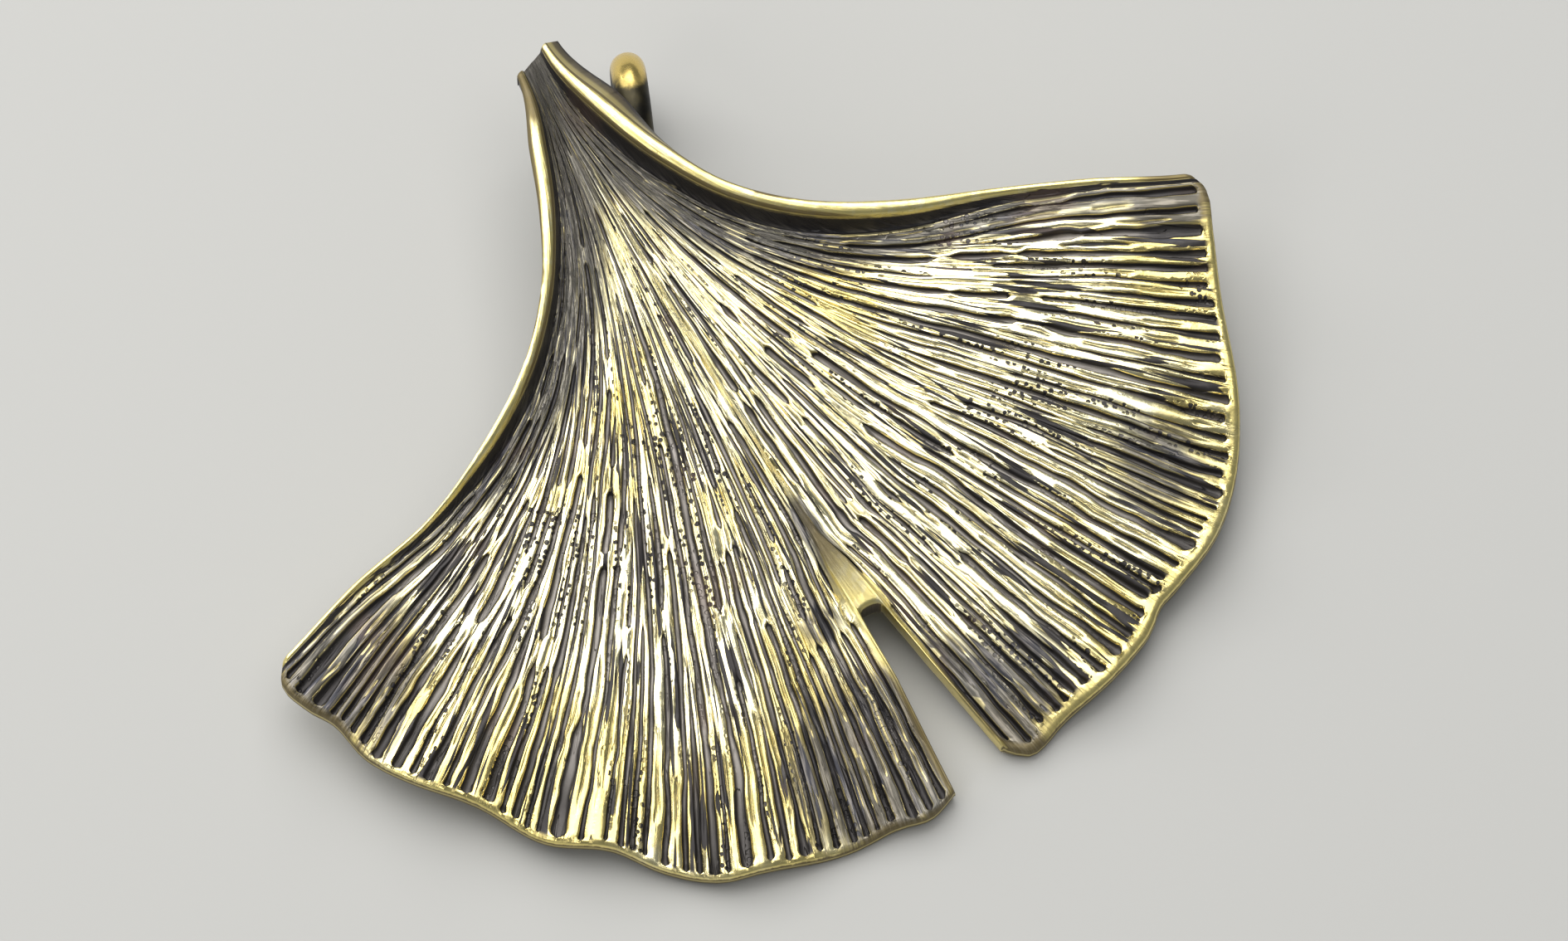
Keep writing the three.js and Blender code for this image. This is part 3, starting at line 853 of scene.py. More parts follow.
    def _gusset(self, across: np.ndarray, along: np.ndarray, lift: np.ndarray, groove: np.ndarray,
                burnish: np.ndarray) -> tuple[np.ndarray, np.ndarray, np.ndarray]:
        """Raises the smooth fold that runs down the middle to the inner end of the slit.

        Args:
            across: Place across the lobe.
            along: Place along the vein.
            lift: Height over the smooth face.
            groove: Groove mark.
            burnish: Burnish mark.

        Returns:
            The lift, the groove mark and the burnish mark with the gusset in them.
        """
        sheet = self.layout.sheet
        from_slit = (1 - across) * self.layout.width(along)
        before = smoothstep(along, 0.64, sheet.slit_apex)
        after = 1 - smoothstep(along, sheet.slit_apex - 0.01, sheet.slit_apex + 0.03)
        half_width = 0.1 + 0.34 * before**3
        share = np.exp(-((from_slit / half_width) ** 4)) * smoothstep(along, 0.6, 0.72) * after
        height = sheet.gusset_height * (0.5 + 0.6 * before) * np.exp(-((from_slit / half_width) ** 2))
        smooth = np.clip(share * 1.2, 0, 1)
        relief_left = 1 - 0.8 * smooth
        return lift * relief_left + height * share, groove * relief_left, np.maximum(burnish, 0.85 * smooth)


# ------------------------------------------------------------------ materials


@dataclass(frozen=True)
class Signal:
    """The value of a socket, which can be reckoned with as a number can.

    Attributes:
        sketch: The material's sketch, where further nodes go.
        socket: The socket that gives the value.
    """

    sketch: "NodeSketch"
    socket: bpy.types.NodeSocket

    def __add__(self, other: "Signal | float") -> "Signal":
        """Adds another value."""
        return self.sketch.math("ADD", self, other)

    def __sub__(self, other: "Signal | float") -> "Signal":
        """Takes another value away."""
        return self.sketch.math("SUBTRACT", self, other)

    def __mul__(self, other: "Signal | float") -> "Signal":
        """Multiplies by another value."""
        return self.sketch.math("MULTIPLY", self, other)

    def __or__(self, other: "Signal | float") -> "Signal":
        """Takes the greater of the two values."""
        return self.sketch.math("MAXIMUM", self, other)

    def __abs__(self) -> "Signal":
        """Takes the sign away."""
        return self.sketch.math("ABSOLUTE", self)

    def rest(self) -> "Signal":
        """Gives what is left of 1."""
        return self.sketch.math("SUBTRACT", 1.0, self)

    def clamped(self) -> "Signal":
        """Keeps the sum that was just made between 0 and 1."""
        self.socket.node.use_clamp = True
        return self

    def span(self, low: float, high: float, to_low: float = 0.0, to_high: float = 1.0) -> "Signal":
        """Maps the value smoothly from one range to another.

        Args:
            low: Value that becomes to_low, as does all below it.
            high: Value that becomes to_high, as does all above it.
            to_low: Start of the new range.
            to_high: End of the new range.

        Returns:
            The mapped value.
        """
        node = self.sketch.add("ShaderNodeMapRange", {"Value": self, "From Min": low, "From Max": high,
                                                      "To Min": to_low, "To Max": to_high})
        node.interpolation_type = "SMOOTHSTEP"
        return Signal(self.sketch, node.outputs["Result"])


class NodeSketch:
    """Short way to write a material's nodes."""

    def __init__(self, name: str) -> None:
        """Starts a material that has only its shader.

        Args:
            name: Name of the material.
        """
        self.material = bpy.data.materials.new(name)
        self.material.use_nodes = True
        self.tree = self.material.node_tree
        self.tree.nodes.clear()
        output = self.tree.nodes.new("ShaderNodeOutputMaterial")
        self.shader = self.tree.nodes.new("ShaderNodeBsdfPrincipled")
        self.tree.links.new(self.shader.outputs["BSDF"], output.inputs["Surface"])

    def feed(self, socket: bpy.types.NodeSocket, value: object) -> None:
        """Links a signal into a socket, or sets the socket to a plain value.

        Args:
            socket: The socket.
            value: The signal or the plain value.
        """
        if isinstance(value, Signal):
            self.tree.links.new(value.socket, socket)
        else:
            socket.default_value = value

    def add(self, kind: str, inputs: dict[str | int, object]) -> bpy.types.Node:
        """Adds a node.

        Args:
            kind: Blender's name for the node.
            inputs: What goes into each of its sockets.

        Returns:
            The node.
        """
        node = self.tree.nodes.new(kind)
        for key, value in inputs.items():
            self.feed(node.inputs[key], value)
        return node

    def math(self, operation: str, *values: Signal | float) -> Signal:
        """Adds a Math node.

        Args:
            operation: What the node does.
            values: One or two values.

        Returns:
            The result.
        """
        node = self.add("ShaderNodeMath", dict(enumerate(values)))
        node.operation = operation
        return Signal(self, node.outputs[0])

    def attribute(self, name: str, output: str = "Fac") -> Signal:
        """Reads a named attribute of the mesh."""
        node = self.add("ShaderNodeAttribute", {})
        node.attribute_name = name
        return Signal(self, node.outputs[output])

    def scaled(self, vector: Signal, scale: Triple) -> Signal:
        """Scales a vector."""
        node = self.add("ShaderNodeMapping", {"Scale": scale, "Vector": vector})
        return Signal(self, node.outputs["Vector"])

    def object_place(self, scale: Triple) -> Signal:
        """Gives the object's own coordinates, scaled."""
        return self.scaled(Signal(self, self.add("ShaderNodeTexCoord", {}).outputs["Object"]), scale)

    def noise(self, vector: Signal, scale: float | tuple[float, float], detail: float = 2.0,
              roughness: float = 0.5, distortion: float = 0.0) -> Signal:
        """Adds a Noise texture.

        Args:
            vector: Where the texture is read.
            scale: Fineness, or the fineness across and along the veins.
            detail: Number of finer layers.
            roughness: Strength of the finer layers.
            distortion: How far the texture is swirled.

        Returns:
            The noise, from 0 to 1.
        """
        if isinstance(scale, tuple):
            vector, scale = self.scaled(vector, (*scale, 1.0)), 1.0
        node = self.add("ShaderNodeTexNoise", {"Scale": scale, "Detail": detail, "Roughness": roughness,
                                               "Distortion": distortion, "Vector": vector})
        return Signal(self, node.outputs["Fac"])

    def cells(self, vector: Signal) -> tuple[Signal, Signal]:
        """Adds a flat Voronoi texture.

        Args:
            vector: Where the texture is read.

        Returns:
            The distance to the middle of the cell, and the cell's chance colour.
        """
        node = self.add("ShaderNodeTexVoronoi", {"Vector": vector, "Scale": 1.0})
        node.voronoi_dimensions = "2D"
        return Signal(self, node.outputs["Distance"]), Signal(self, node.outputs["Color"])

    def mix(self, share: Signal, first: Signal | Triple, second: Signal | Triple) -> Signal:
        """Mixes two colours.

        Args:
            share: How much of the second colour there is.
            first: The first colour.
            second: The second colour.

        Returns:
            The mixed colour.
        """
        node = self.add("ShaderNodeMix", {"Factor": share})
        node.data_type = "RGBA"
        for socket, colour in ((node.inputs[6], first), (node.inputs[7], second)):
            self.feed(socket, (*colour, 1.0) if isinstance(colour, tuple) else colour)
        return Signal(self, node.outputs[2])

    def bump(self, height: Signal, distance: float, strength: float) -> None:
        """Adds a bump on top of those that the shader has.

        Args:
            height: Height of the surface.
            distance: Height in metres that 1 stands for.
            strength: How much of the bump is used.
        """
        node = self.add("ShaderNodeBump", {"Distance": distance, "Strength": strength, "Height": height})
        normal = self.shader.inputs["Normal"]
        if normal.is_linked:
            self.tree.links.new(normal.links[0].from_socket, node.inputs["Normal"])
        self.tree.links.new(node.outputs["Normal"], normal)


@dataclass(frozen=True)
class OxidisedBrass:
    """Cast brass, blackened all over and then rubbed bright on what stands up.

    Attributes:
        pale: Colour of the brightest rubbed metal.
        deep: Colour of the metal that is less rubbed.
        rim: Colour of the rubbed rims.
        patina: Colour of the dark finish in the grooves.
        haze: Colour of the thin blue-grey finish on the flanks.
        slate: Colour of the thicker dark that covers the tops too, over tarnish and over painted shade.
        olive: Colour of the dark on the rims' flanks and on the outer edge, partly patina and partly painted
            shade.
        flush: Faint warm tint where the finish is thinnest.
        ring_metal: Colour of the ring's rubbed end.
        ring_soot: Colour of the ring's thick finish.
        ring_film: Colour of the ring's thin finish.
    """

    pale: Triple = (0.93, 0.86, 0.56)
    deep: Triple = (0.76, 0.63, 0.25)
    rim: Triple = (0.86, 0.73, 0.28)
    patina: Triple = (0.032, 0.029, 0.029)
    haze: Triple = (0.24, 0.222, 0.205)
    slate: Triple = (0.042, 0.043, 0.054)
    olive: Triple = (0.12, 0.086, 0.032)
    flush: Triple = (0.16, 0.10, 0.075)
    ring_metal: Triple = (0.8, 0.6, 0.19)
    ring_soot: Triple = (0.012, 0.011, 0.008)
    ring_film: Triple = (0.04, 0.034, 0.018)

    IN_MM: ClassVar[Triple] = (1000.0, 1000.0, 1000.0)
    PIT_FINENESS: ClassVar[Triple] = (2350.0, 2350.0, 0.0)

    def leaf(self) -> bpy.types.Material:
        """Makes the material of the leaf.

        Returns:
            The material, which reads the leaf's attributes.
        """
        sketch = NodeSketch("leaf_oxidised_brass")
        vein = sketch.attribute("vein_place", "Vector")
        groove, burnish, tarnish_and_shade = (sketch.attribute(name) for name in ("groove", "burnish", "tarnish_and_shade"))
        place = sketch.object_place(self.IN_MM)
        hollow = self._hollows(sketch, vein, burnish.rest().clamped())
        smear = sketch.noise(vein, (1.7, 0.1), 4.0, 0.7)
        # Tarnish and painted shade together, broken up with smears along the veins.
        stain_and_shade = (tarnish_and_shade + smear * 0.9).span(0.78, 1.15)
        dark = self._darkness(sketch, place, groove, stain_and_shade, hollow)
        parts = sketch.add("ShaderNodeSeparateXYZ", {"Vector": vein})
        from_edge = Signal(sketch, parts.outputs["Y"])

        # Bare metal: paler away from the edge, deeper on the shoulders, yellow and scuffed on the rims.
        broad = sketch.noise(place, 0.14, 3.0, 0.55)
        inland = from_edge.span(3.0, 12.0, -0.04, 0.12)
        metal = sketch.mix((broad + inland).span(0.42, 0.64), self.deep, self.pale)
        metal = sketch.mix(groove.span(0.0, 0.09, 0.0, 0.7), metal, self.deep)
        scuffed = sketch.noise(place, 1.7, 5.0, 0.7).span(0.48, 0.62, 0.9, 0.4)
        metal = sketch.mix(burnish * scuffed, metal, self.rim)

        # Dark finish: hazy on the floors of the grooves, streaky where it covers the tops, which carries both
        # tarnish and painted shade.
        floor = groove.span(0.7, 1.0) * from_edge.span(2.0, 7.0, 0.15, 1.0) * stain_and_shade.span(0.0, 1.0, 1.0, 0.4)
        floor = floor | (stain_and_shade * groove.span(0.0, 0.5, 0.9, 0.0))
        streaks = sketch.noise(vein, (5.0, 0.3), 3.0, 0.6).span(0.44, 0.62)
        film = sketch.mix(streaks | stain_and_shade.span(0.0, 0.6, 1.0, 0.0), self.slate, self.haze)
        finish = sketch.mix(floor, self.patina, film)
        finish = sketch.mix(sketch.noise(place, 0.22, 2.0).span(0.56, 0.72, 0.0, 0.3), finish, self.flush)
        finish = sketch.mix(burnish * 0.85, finish, self.olive)

        sketch.feed(sketch.shader.inputs["Base Color"], sketch.mix(dark, metal, finish))
        sketch.feed(sketch.shader.inputs["Metallic"], (dark * 0.4).rest())
        grain = sketch.noise(vein, (1.5, 0.5), 3.0, 0.6).span(0.3, 0.7, 0.2, 0.3)
        sketch.feed(sketch.shader.inputs["Roughness"], grain + dark * 0.22 + burnish * 0.08)
        sketch.bump(hollow * -1.0, 0.00012, 0.8)
        sketch.bump(sketch.noise(vein, (1.3, 0.22), 2.0, 0.5), 0.00012, 0.32)
        sketch.bump(sketch.noise(place, 1.3, 3.0, 0.6), 0.00008, 0.3)
        return sketch.material

    def _hollows(self, sketch: NodeSketch, vein: Signal, dull: Signal) -> Signal:
        """Long dark lenses, hair cracks and small round casting pits, all running with the veins.

        Args:
            sketch: The material's nodes.
            vein: Place across and along the veins.
            dull: 1 where the metal isn't rubbed smooth.

        Returns:
            1 in a hollow, 0 outside.
        """
        sway = sketch.noise(vein, (0.5, 0.25), 2.0)
        lens = sketch.noise(vein, (2.1, 0.14), 1.5, 0.5, 0.35).span(0.585, 0.605) * dull
        off_line = abs(sketch.noise(vein, (2.9, 0.13), 3.0, 0.6, 0.5) - 0.5)
        hair = off_line.span(0.004, 0.02).rest() * sway.span(0.45, 0.6) * dull
        pit_away, pit_colour = sketch.cells(sketch.object_place(self.PIT_FINENESS))
        round_pit = (pit_away + pit_colour * 0.22).span(0.34, 0.44).rest()
        pitted = sketch.attribute("pitted")
        chain = (sketch.noise(vein, (0.8, 0.1), 1.0) + pitted * 0.5).span(0.56, 0.62)
        beside = (sketch.attribute("beside") + pitted).span(0.3, 0.6)
        pit = round_pit * chain * (beside * dull)
        return lens | pit | (hair * 0.8)

    def _darkness(self, sketch: NodeSketch, place: Signal, groove: Signal, stain_and_shade: Signal,
                  hollow: Signal) -> Signal:
        """How much of the dark finish and of the painted shade is on the metal.

        Args:
            sketch: The material's nodes.
            place: Place in mm.
            groove: The leaf's groove mark.
            stain_and_shade: 1 where the tops are tarnished, and where painted shade lies on them.
            hollow: 1 in a pit or crack.

        Returns:
            0 on bare metal, 1 under the full finish and where painted shade is full.
        """
        ragged = sketch.noise(place, 1.9, 3.0, 0.55)
        in_groove = (groove + (ragged - 0.5) * 0.3).span(0.16, 0.44)
        shoulder = (groove.span(0.0, 0.04) - groove.span(0.1, 0.3)).clamped()
        # Tarnish and painted shade veil the tops, less on the ridges' shoulders.
        veil = stain_and_shade * shoulder.span(0.0, 1.0, 0.93, 0.4)
        speck = sketch.noise(place, 2.6, 4.0, 0.75).span(0.62, 0.7, 0.0, 0.45)
        return in_groove | hollow | veil | speck

    def ring(self) -> bpy.types.Material:
        """Makes the material of the hanging ring: dark, rubbed bright at its outer end.

        Returns:
            The material, which reads the ring's burnish attribute.
        """
        sketch = NodeSketch("ring_oxidised_brass")
        place = sketch.object_place(self.IN_MM)
        mottled = sketch.noise(place, 1.4, 4.0, 0.6)
        rubbed = (sketch.attribute("burnish") + (mottled - 0.5) * 0.5).span(0.12, 0.6)
        film = sketch.mix(sketch.noise(place, 0.8, 3.0).span(0.4, 0.7), self.ring_soot, self.ring_film)
        sketch.feed(sketch.shader.inputs["Base Color"], sketch.mix(rubbed, film, self.ring_metal))
        sketch.feed(sketch.shader.inputs["Metallic"], rubbed.span(0.0, 1.0, 0.8, 1.0))
        rough = mottled.span(0.3, 0.7, 0.0, 0.1) + rubbed.span(0.0, 1.0, 0.4, 0.22)
        sketch.feed(sketch.shader.inputs["Roughness"], rough)
        sketch.bump(sketch.noise(place, 0.9, 2.0, 0.5), 0.0001, 0.25)
        return sketch.material


# ------------------------------------------------------------------ work on meshes


def deselect_all() -> None:
    """Leaves nothing selected, in object mode."""
    if bpy.context.object and bpy.context.object.mode != "OBJECT":
        bpy.ops.object.mode_set(mode="OBJECT")
    bpy.ops.object.select_all(action="DESELECT")


def select_only(piece: bpy.types.Object) -> None:
    """Selects one piece and makes it the active one."""
    deselect_all()
    bpy.context.view_layer.objects.active = piece
    piece.select_set(True)


def apply_modifier(piece: bpy.types.Object, kind: str, **settings: object) -> None:
    """Adds a modifier to a piece and applies it.

    Args:
        piece: The piece.
        kind: Blender's name for the kind of modifier.
        settings: Its settings.
    """
    modifier = piece.modifiers.new(kind.lower(), kind)
    for name, value in settings.items():
        setattr(modifier, name, value)
    select_only(piece)
    bpy.ops.object.modifier_apply(modifier=modifier.name)


def read_vectors(items: bpy.types.bpy_prop_collection, name: str) -> np.ndarray:
    """Reads a vector of each vertex or face of a mesh.

    Args:
        items: The vertices or the faces.
        name: Name of the vector.

    Returns:
        The vectors (n x 3).
    """
    flat = np.empty(len(items) * 3)
    items.foreach_get(name, flat)
    return flat.reshape(-1, 3)


def write_places(mesh: bpy.types.Mesh, place: np.ndarray) -> None:
    """Moves every vertex of a mesh."""
    mesh.vertices.foreach_set("co", place.ravel())
    mesh.update()


def write_mark(mesh: bpy.types.Mesh, name: str, values: np.ndarray) -> None:
    """Gives a mesh an attribute with one number or one vector for each vertex.

    Args:
        mesh: The mesh.
        name: Name of the attribute.
        values: The numbers (n) or the vectors (n x 3).
    """
    kind, part = ("FLOAT", "value") if values.ndim == 1 else ("FLOAT_VECTOR", "vector")
    mesh.attributes.new(name, kind, "POINT").data.foreach_set(part, values.ravel())


# ------------------------------------------------------------------ the leaf


@dataclass
class LeafCasting:
    """The fan, its rims and its stem, in one casting.

    Attributes:
        sheet: Sizes that both lobes share.
        grooves: Sizes of the grooves.
        rows: Rows of vertices.
        bridge_columns: Columns of vertices that join the lobes above the slit.
        face_budget: Number of triangles that are kept.
        edge_roll: How far the outer edge is rolled off, and from how far in.
        apex_round: How far the slit's inner end is rounded.
        apex_crown: How far the fold stands up in front of it.
        apex_slant: How far its two corners are off square.
        apex_reach: Rows and columns over which the slant dies out.
        wall_rings: The two rings round the outside: how far each is down, and its share of the swell.
    """

    sheet: SheetSizes = field(default_factory=SheetSizes)
    grooves: GrooveSizes = field(default_factory=GrooveSizes)
    rows: RowPlan = field(default_factory=RowPlan)
    bridge_columns: int = 5
    face_budget: int = 194000
    edge_roll: tuple[float, float] = (0.16, 0.45)
    apex_round: float = 0.18
    apex_crown: float = 0.25
    apex_slant: float = 0.38
    apex_reach: int = 8
    wall_rings: Pairs = ((0.28, 0.85), (0.68, 1.0))

    RIM_FLANK_SHADE: ClassVar[tuple[float, ...]] = (1.2, 1.1, 0.6, 0.0, 0.0, 0.3, 0.9, 1.1)
    MARKS: ClassVar[tuple[str, ...]] = ("groove", "burnish", "beside", "tarnish_and_shade", "pitted", "lateral", "run")
    RIGHT_LOBE_LATERAL: ClassVar[float] = 100.0
    LAYERS: ClassVar[int] = 4

    def build(self) -> bpy.types.Object:
        """Makes the leaf.

        Returns:
            The finished piece.
        """
        self.lobes = [LobeLayout(sizes, self.sheet) for sizes in (LEFT_LOBE, RIGHT_LOBE)]
        self.nets = [GroovedFan(lobe, self.grooves, self.rows).build() for lobe in self.lobes]
        self._measure()
        piece = self._thicken_grid()
        self._shape(piece)
        self._thin(piece)
        return piece

    # -------------------------------------------------------------- places

    def _measure(self) -> None:
        """Works out the place in mm and the finish of every vertex, all round the sheet."""
        lobes = [self._measure_lobe(lobe, net) for lobe, net in zip(self.lobes, self.nets)]
        self.front, self.back, marks = (self._lay(left, right) for left, right in zip(*lobes))
        self.marks = dict(zip(self.MARKS, np.moveaxis(marks, 2, 0)))
        self.left_columns = lobes[0][0].shape[1]
        slit_along = self.nets[0].along[:, -1]
        self.apex_row = int(np.argmin(np.abs(slit_along - self.sheet.slit_apex)))
        self._round_apex()
        self._measure_walls()

    def _lay(self, left: np.ndarray, right: np.ndarray) -> np.ndarray:
        """Puts side by side the left lobe from rim to slit, a bridge, and the right lobe from slit to rim.

        Args:
            left: Numbers of the left lobe (rows x columns x n).
            right: Numbers of the right lobe.

        Returns:
            The numbers of the whole leaf.
        """
        shares = np.linspace(0, 1, self.bridge_columns + 2)[1:-1][None, :, None]
        right = right[:, ::-1]
        bridge = left[:, -1:] * (1 - shares) + right[:, :1] * shares
        return np.concatenate([left, bridge, right], axis=1)

    def _measure_lobe(self, lobe: LobeLayout, net: NetOfPlaces) -> tuple[np.ndarray, np.ndarray, np.ndarray]:
        """Works out the front, the back and the marks of one lobe.

        Args:
            lobe: The lobe's layout.
            net: Its net of places.

        Returns:
            The front and the back (rows x columns x 3), and the marks (rows x columns x marks).
        """
        x, y = lobe.plan(net.across, net.along)
        speed = lobe.speed(net.across[0])[None, :]
        roll, reach = self.edge_roll
        roll_off = roll * np.clip(1 - (1 - net.along) * speed / reach, 0, 1) ** 2
        face = lobe.face(net.across, net.along, x, y) - lobe.channel(net.across, net.along) * (1 - net.rim)
        front = np.stack([x, y, face + net.lift - roll_off], axis=2)

        inset = sample_list(lobe.sizes.inset, net.along[:, :1]) / lobe.width(net.along)
        inset = np.minimum(inset, self.sheet.inset_limit)
        across = inset + (1 - inset) * net.across
        along = np.minimum(net.along, 1 - 0.12 / speed)
        back_x, back_y = lobe.plan(across, along)
        under = lobe.face(across, along, back_x, back_y) - lobe.channel(across, along)
        back = np.stack([back_x, back_y, np.maximum(under - lobe.thickness(net.along), 0.0)], axis=2)

        pitted = sum(spot.at(x, y) for spot in self.sheet.pitted)
        lateral = net.lateral + (self.RIGHT_LOBE_LATERAL if lobe.sign > 0 else 0.0)
        steps = np.hypot(np.diff(x, axis=0), np.diff(y, axis=0))
        run = np.cumsum(np.vstack([steps, np.zeros((1, steps.shape[1]))])[::-1], axis=0)[::-1]
        marks = (net.groove, net.burnish, net.beside, self._tarnish_and_shade(lobe, net, x, y), pitted, lateral, run)
        return front, back, np.stack(marks, axis=2)

    def _tarnish_and_shade(self, lobe: LobeLayout, net: NetOfPlaces, x: np.ndarray, y: np.ndarray) -> np.ndarray:
        """How far the dark covers the tops too: tarnish and patina, with painted shade beside the rims,
        beside the slit and on sunken parts.

        Args:
            lobe: The lobe's layout.
            net: Its net of places.
            x: Each place's x in plan.
            y: Its y in plan.

        Returns:
            The tarnish and painted shade of each place.
        """
        along, width = net.along, lobe.width(net.along)
        # Painted shade in the hollow inside each side rim, over the patina there; it reaches furthest in near
        # the stem and fades towards the left corner.
        reach = 4.4 - 2.2 * smoothstep(along, 0.4, 0.85)
        fading = 0.45 if lobe.sign < 0 else 0.0
        rim_shade_and_patina = np.exp(-((net.across * width / reach) ** 2.5))
        rim_shade_and_patina = rim_shade_and_patina * (1 - fading * smoothstep(along, 0.6, 0.9))
        # The stem end is darkened too, as patina and painted shade.
        tarnish_and_shade = np.maximum(rim_shade_and_patina, 0.8 * (1 - smoothstep(along, 0.1, 0.4)))
        for stain_and_shade in self.sheet.stains_and_shade:
            tarnish_and_shade = np.maximum(tarnish_and_shade, stain_and_shade.at(x, y))
        tarnish_and_shade = np.clip(tarnish_and_shade, 0, 1) * (1 - net.rim)

        # Painted shade on the ridges beside the slit, outside the slit's bright thin rim.
        from_slit = (1 - net.across) * width
        slit_shade = 0.95 * np.exp(-((from_slit / 3.6) ** 2)) * smoothstep(along, 0.79, 0.88)
        tarnish_and_shade = np.maximum(tarnish_and_shade, slit_shade * (1 - smoothstep(net.burnish, 0.8, 1.0)))
        on_fold = np.interp(along, (0.6, 0.66, 0.77, 0.8), (0.0, 0.9, 0.42, 0.0))
        tarnish_and_shade = np.maximum(tarnish_and_shade, on_fold * np.exp(-((from_slit / 0.7) ** 4)))

        # The side rim's flanks near the stem are painted in shade, and the whole rim is darkened at the left
        # tip and the right corner.
        rim = along[:, :len(self.RIM_FLANK_SHADE)]
        flank_shade = np.array(self.RIM_FLANK_SHADE)[None, :] * (1 - smoothstep(rim, 0.4, 0.7))
        end = 1 - smoothstep(rim, 0.06, 0.13) if lobe.sign < 0 else smoothstep(rim, 0.86, 0.96)
        tarnish_and_shade[:, :len(self.RIM_FLANK_SHADE)] = np.maximum(flank_shade, 0.75 * end)
        return tarnish_and_shade

    def _round_apex(self) -> None:
        """Rounds the slit's blunt inner end, sets it a little askew and crowns the fold in front of it."""
        first, last, apex = self.left_columns, self.left_columns + self.bridge_columns, self.apex_row
        m = np.linspace(0, 1, self.bridge_columns + 2)[1:-1]
        for row in range(apex - 16, apex + 1):
            share = 1 - (apex - row) / 17
            self.front[row, first:last, 2] += self.apex_crown * share * 4 * m * (1 - m)
        reach = self.apex_reach
        columns = np.arange(first - reach, last + reach)
        slant = 1 - 2 * np.clip((columns - first + 1) / (self.bridge_columns + 1), 0, 1)
        fading = 1 - np.clip(np.maximum(first - 1 - columns, columns - last) / reach, 0, 1)
        for sheet in (self.front, self.back):
            for row in range(apex - 3, apex + 1):
                share = 1 - (apex - row) / 4
                sheet[row, first:last, 1] += self.apex_round * share * (4 * m * (1 - m)) ** 0.4
            for row in range(apex - reach, apex + reach + 1):
                share = 1 - abs(row - apex) / (reach + 1)
                sheet[row, columns, 1] += self.apex_slant * slant * share * fading

    def _measure_walls(self) -> None:
        """Works out the two belly rings that run round the outside, between the front and the back."""
        rows, columns = self.front.shape[:2]
        out = np.zeros((rows, columns, 2))
        for lobe, net, column in zip(self.lobes, self.nets, (0, -1)):
            flare = sample_list(lobe.sizes.flare, net.along[:, 0])
            for axis, normal in enumerate(lobe.side_normal(net.along[:, 0])):
                out[:, column, axis] += normal * flare
        run = self.front[-1, :, :2] - self.front[-3, :, :2]
        out[-1] += 0.1 * run / np.linalg.norm(run, axis=1)[:, None]
        out[0, :, 1] += 0.1
        first, last = self.left_columns - 1, self.left_columns + self.bridge_columns
        out[self.apex_row:, first, 0] += 0.05
        out[self.apex_row:, last, 0] -= 0.05
        out[self.apex_row, first:last + 1, 1] -= 0.05
        self.walls = []
        for fall, swell in self.wall_rings:
            wall = self.front * (1 - fall) + self.back * fall
            wall[:, :, :2] = self.front[:, :, :2] + swell * out
            self.walls.append(wall)

    # -------------------------------------------------------------- mesh

    def _thicken_grid(self) -> bpy.types.Object:
        """Makes a flat grid, opens the slit in it and extrudes it into a closed sheet.

        Returns:
            The closed sheet. Each vertex's x, y and z are its column, its row and its layer.
        """
        rows, columns = self.front.shape[:2]
        deselect_all()
        bpy.ops.mesh.primitive_grid_add(x_subdivisions=columns - 1, y_subdivisions=rows - 1, size=1.0)
        piece = bpy.context.object
        piece.name = piece.data.name = "ginkgo_leaf"
        flat = read_vectors(piece.data.vertices, "co")
        flat[:, :2] = np.round((flat[:, :2] + 0.5) * (columns - 1, rows - 1))
        write_places(piece.data, flat)

        column, row, _ = read_vectors(piece.data.polygons, "center").T
        first, last = self.left_columns - 1, self.left_columns + self.bridge_columns
        slit = (column > first) & (column < last) & (row > self.apex_row)
        self._select_faces(piece.data, slit)
        bpy.ops.object.mode_set(mode="EDIT")
        bpy.ops.mesh.delete(type="FACE")
        bpy.ops.mesh.select_all(action="SELECT")
        for _ in range(self.LAYERS - 1):
            bpy.ops.mesh.extrude_region_move(TRANSFORM_OT_translate={"value": (0, 0, 1)})
        bpy.ops.object.mode_set(mode="OBJECT")
        return piece

    @staticmethod
    def _select_faces(mesh: bpy.types.Mesh, chosen: np.ndarray) -> None:
        """Selects the chosen faces of a mesh, with their edges and vertices, and nothing else.

        Args:
            mesh: The mesh.
            chosen: For each face, whether it is chosen.
        """
        totals = np.empty(len(mesh.polygons), dtype=np.int64)
        mesh.polygons.foreach_get("loop_total", totals)
        on_chosen = np.repeat(chosen, totals)
        mesh.polygons.foreach_set("select", chosen)
        for items, index in ((mesh.edges, "edge_index"), (mesh.vertices, "vertex_index")):
            indices = np.empty(len(mesh.loops), dtype=np.int64)
            mesh.loops.foreach_get(index, indices)
            selected = np.zeros(len(items), dtype=bool)
            selected[indices[on_chosen]] = True
            items.foreach_set("select", selected)

    def _shape(self, piece: bpy.types.Object) -> None:
        """Moves every vertex of the closed sheet to its place on the leaf.

        Args:
            piece: The closed sheet.
        """
        column, row, layer = np.round(read_vectors(piece.data.vertices, "co")).astype(int).T
        layers = np.stack([self.back, self.walls[1], self.walls[0], self.front])
        place = layers[layer, row, column]
        place[:, 2] = np.maximum(place[:, 2], 0.0)
        self.full_place = (place + MOVE_TO_ORIGIN) * MM
        write_places(piece.data, self.full_place)
        others = {"beside": 0.0, "pitted": 0.0, **self._wall_marks(column, row, layer)}
        self.full_marks = {key: value[row, column] for key, value in self.marks.items()}
        for key, other in others.items():
            self.full_marks[key] = np.where(layer == self.LAYERS - 1, self.full_marks[key], other)
        select_only(piece)
        bpy.ops.object.mode_set(mode="EDIT")
        bpy.ops.mesh.select_all(action="SELECT")
        bpy.ops.mesh.normals_make_consistent(inside=False)
        bpy.ops.object.mode_set(mode="OBJECT")

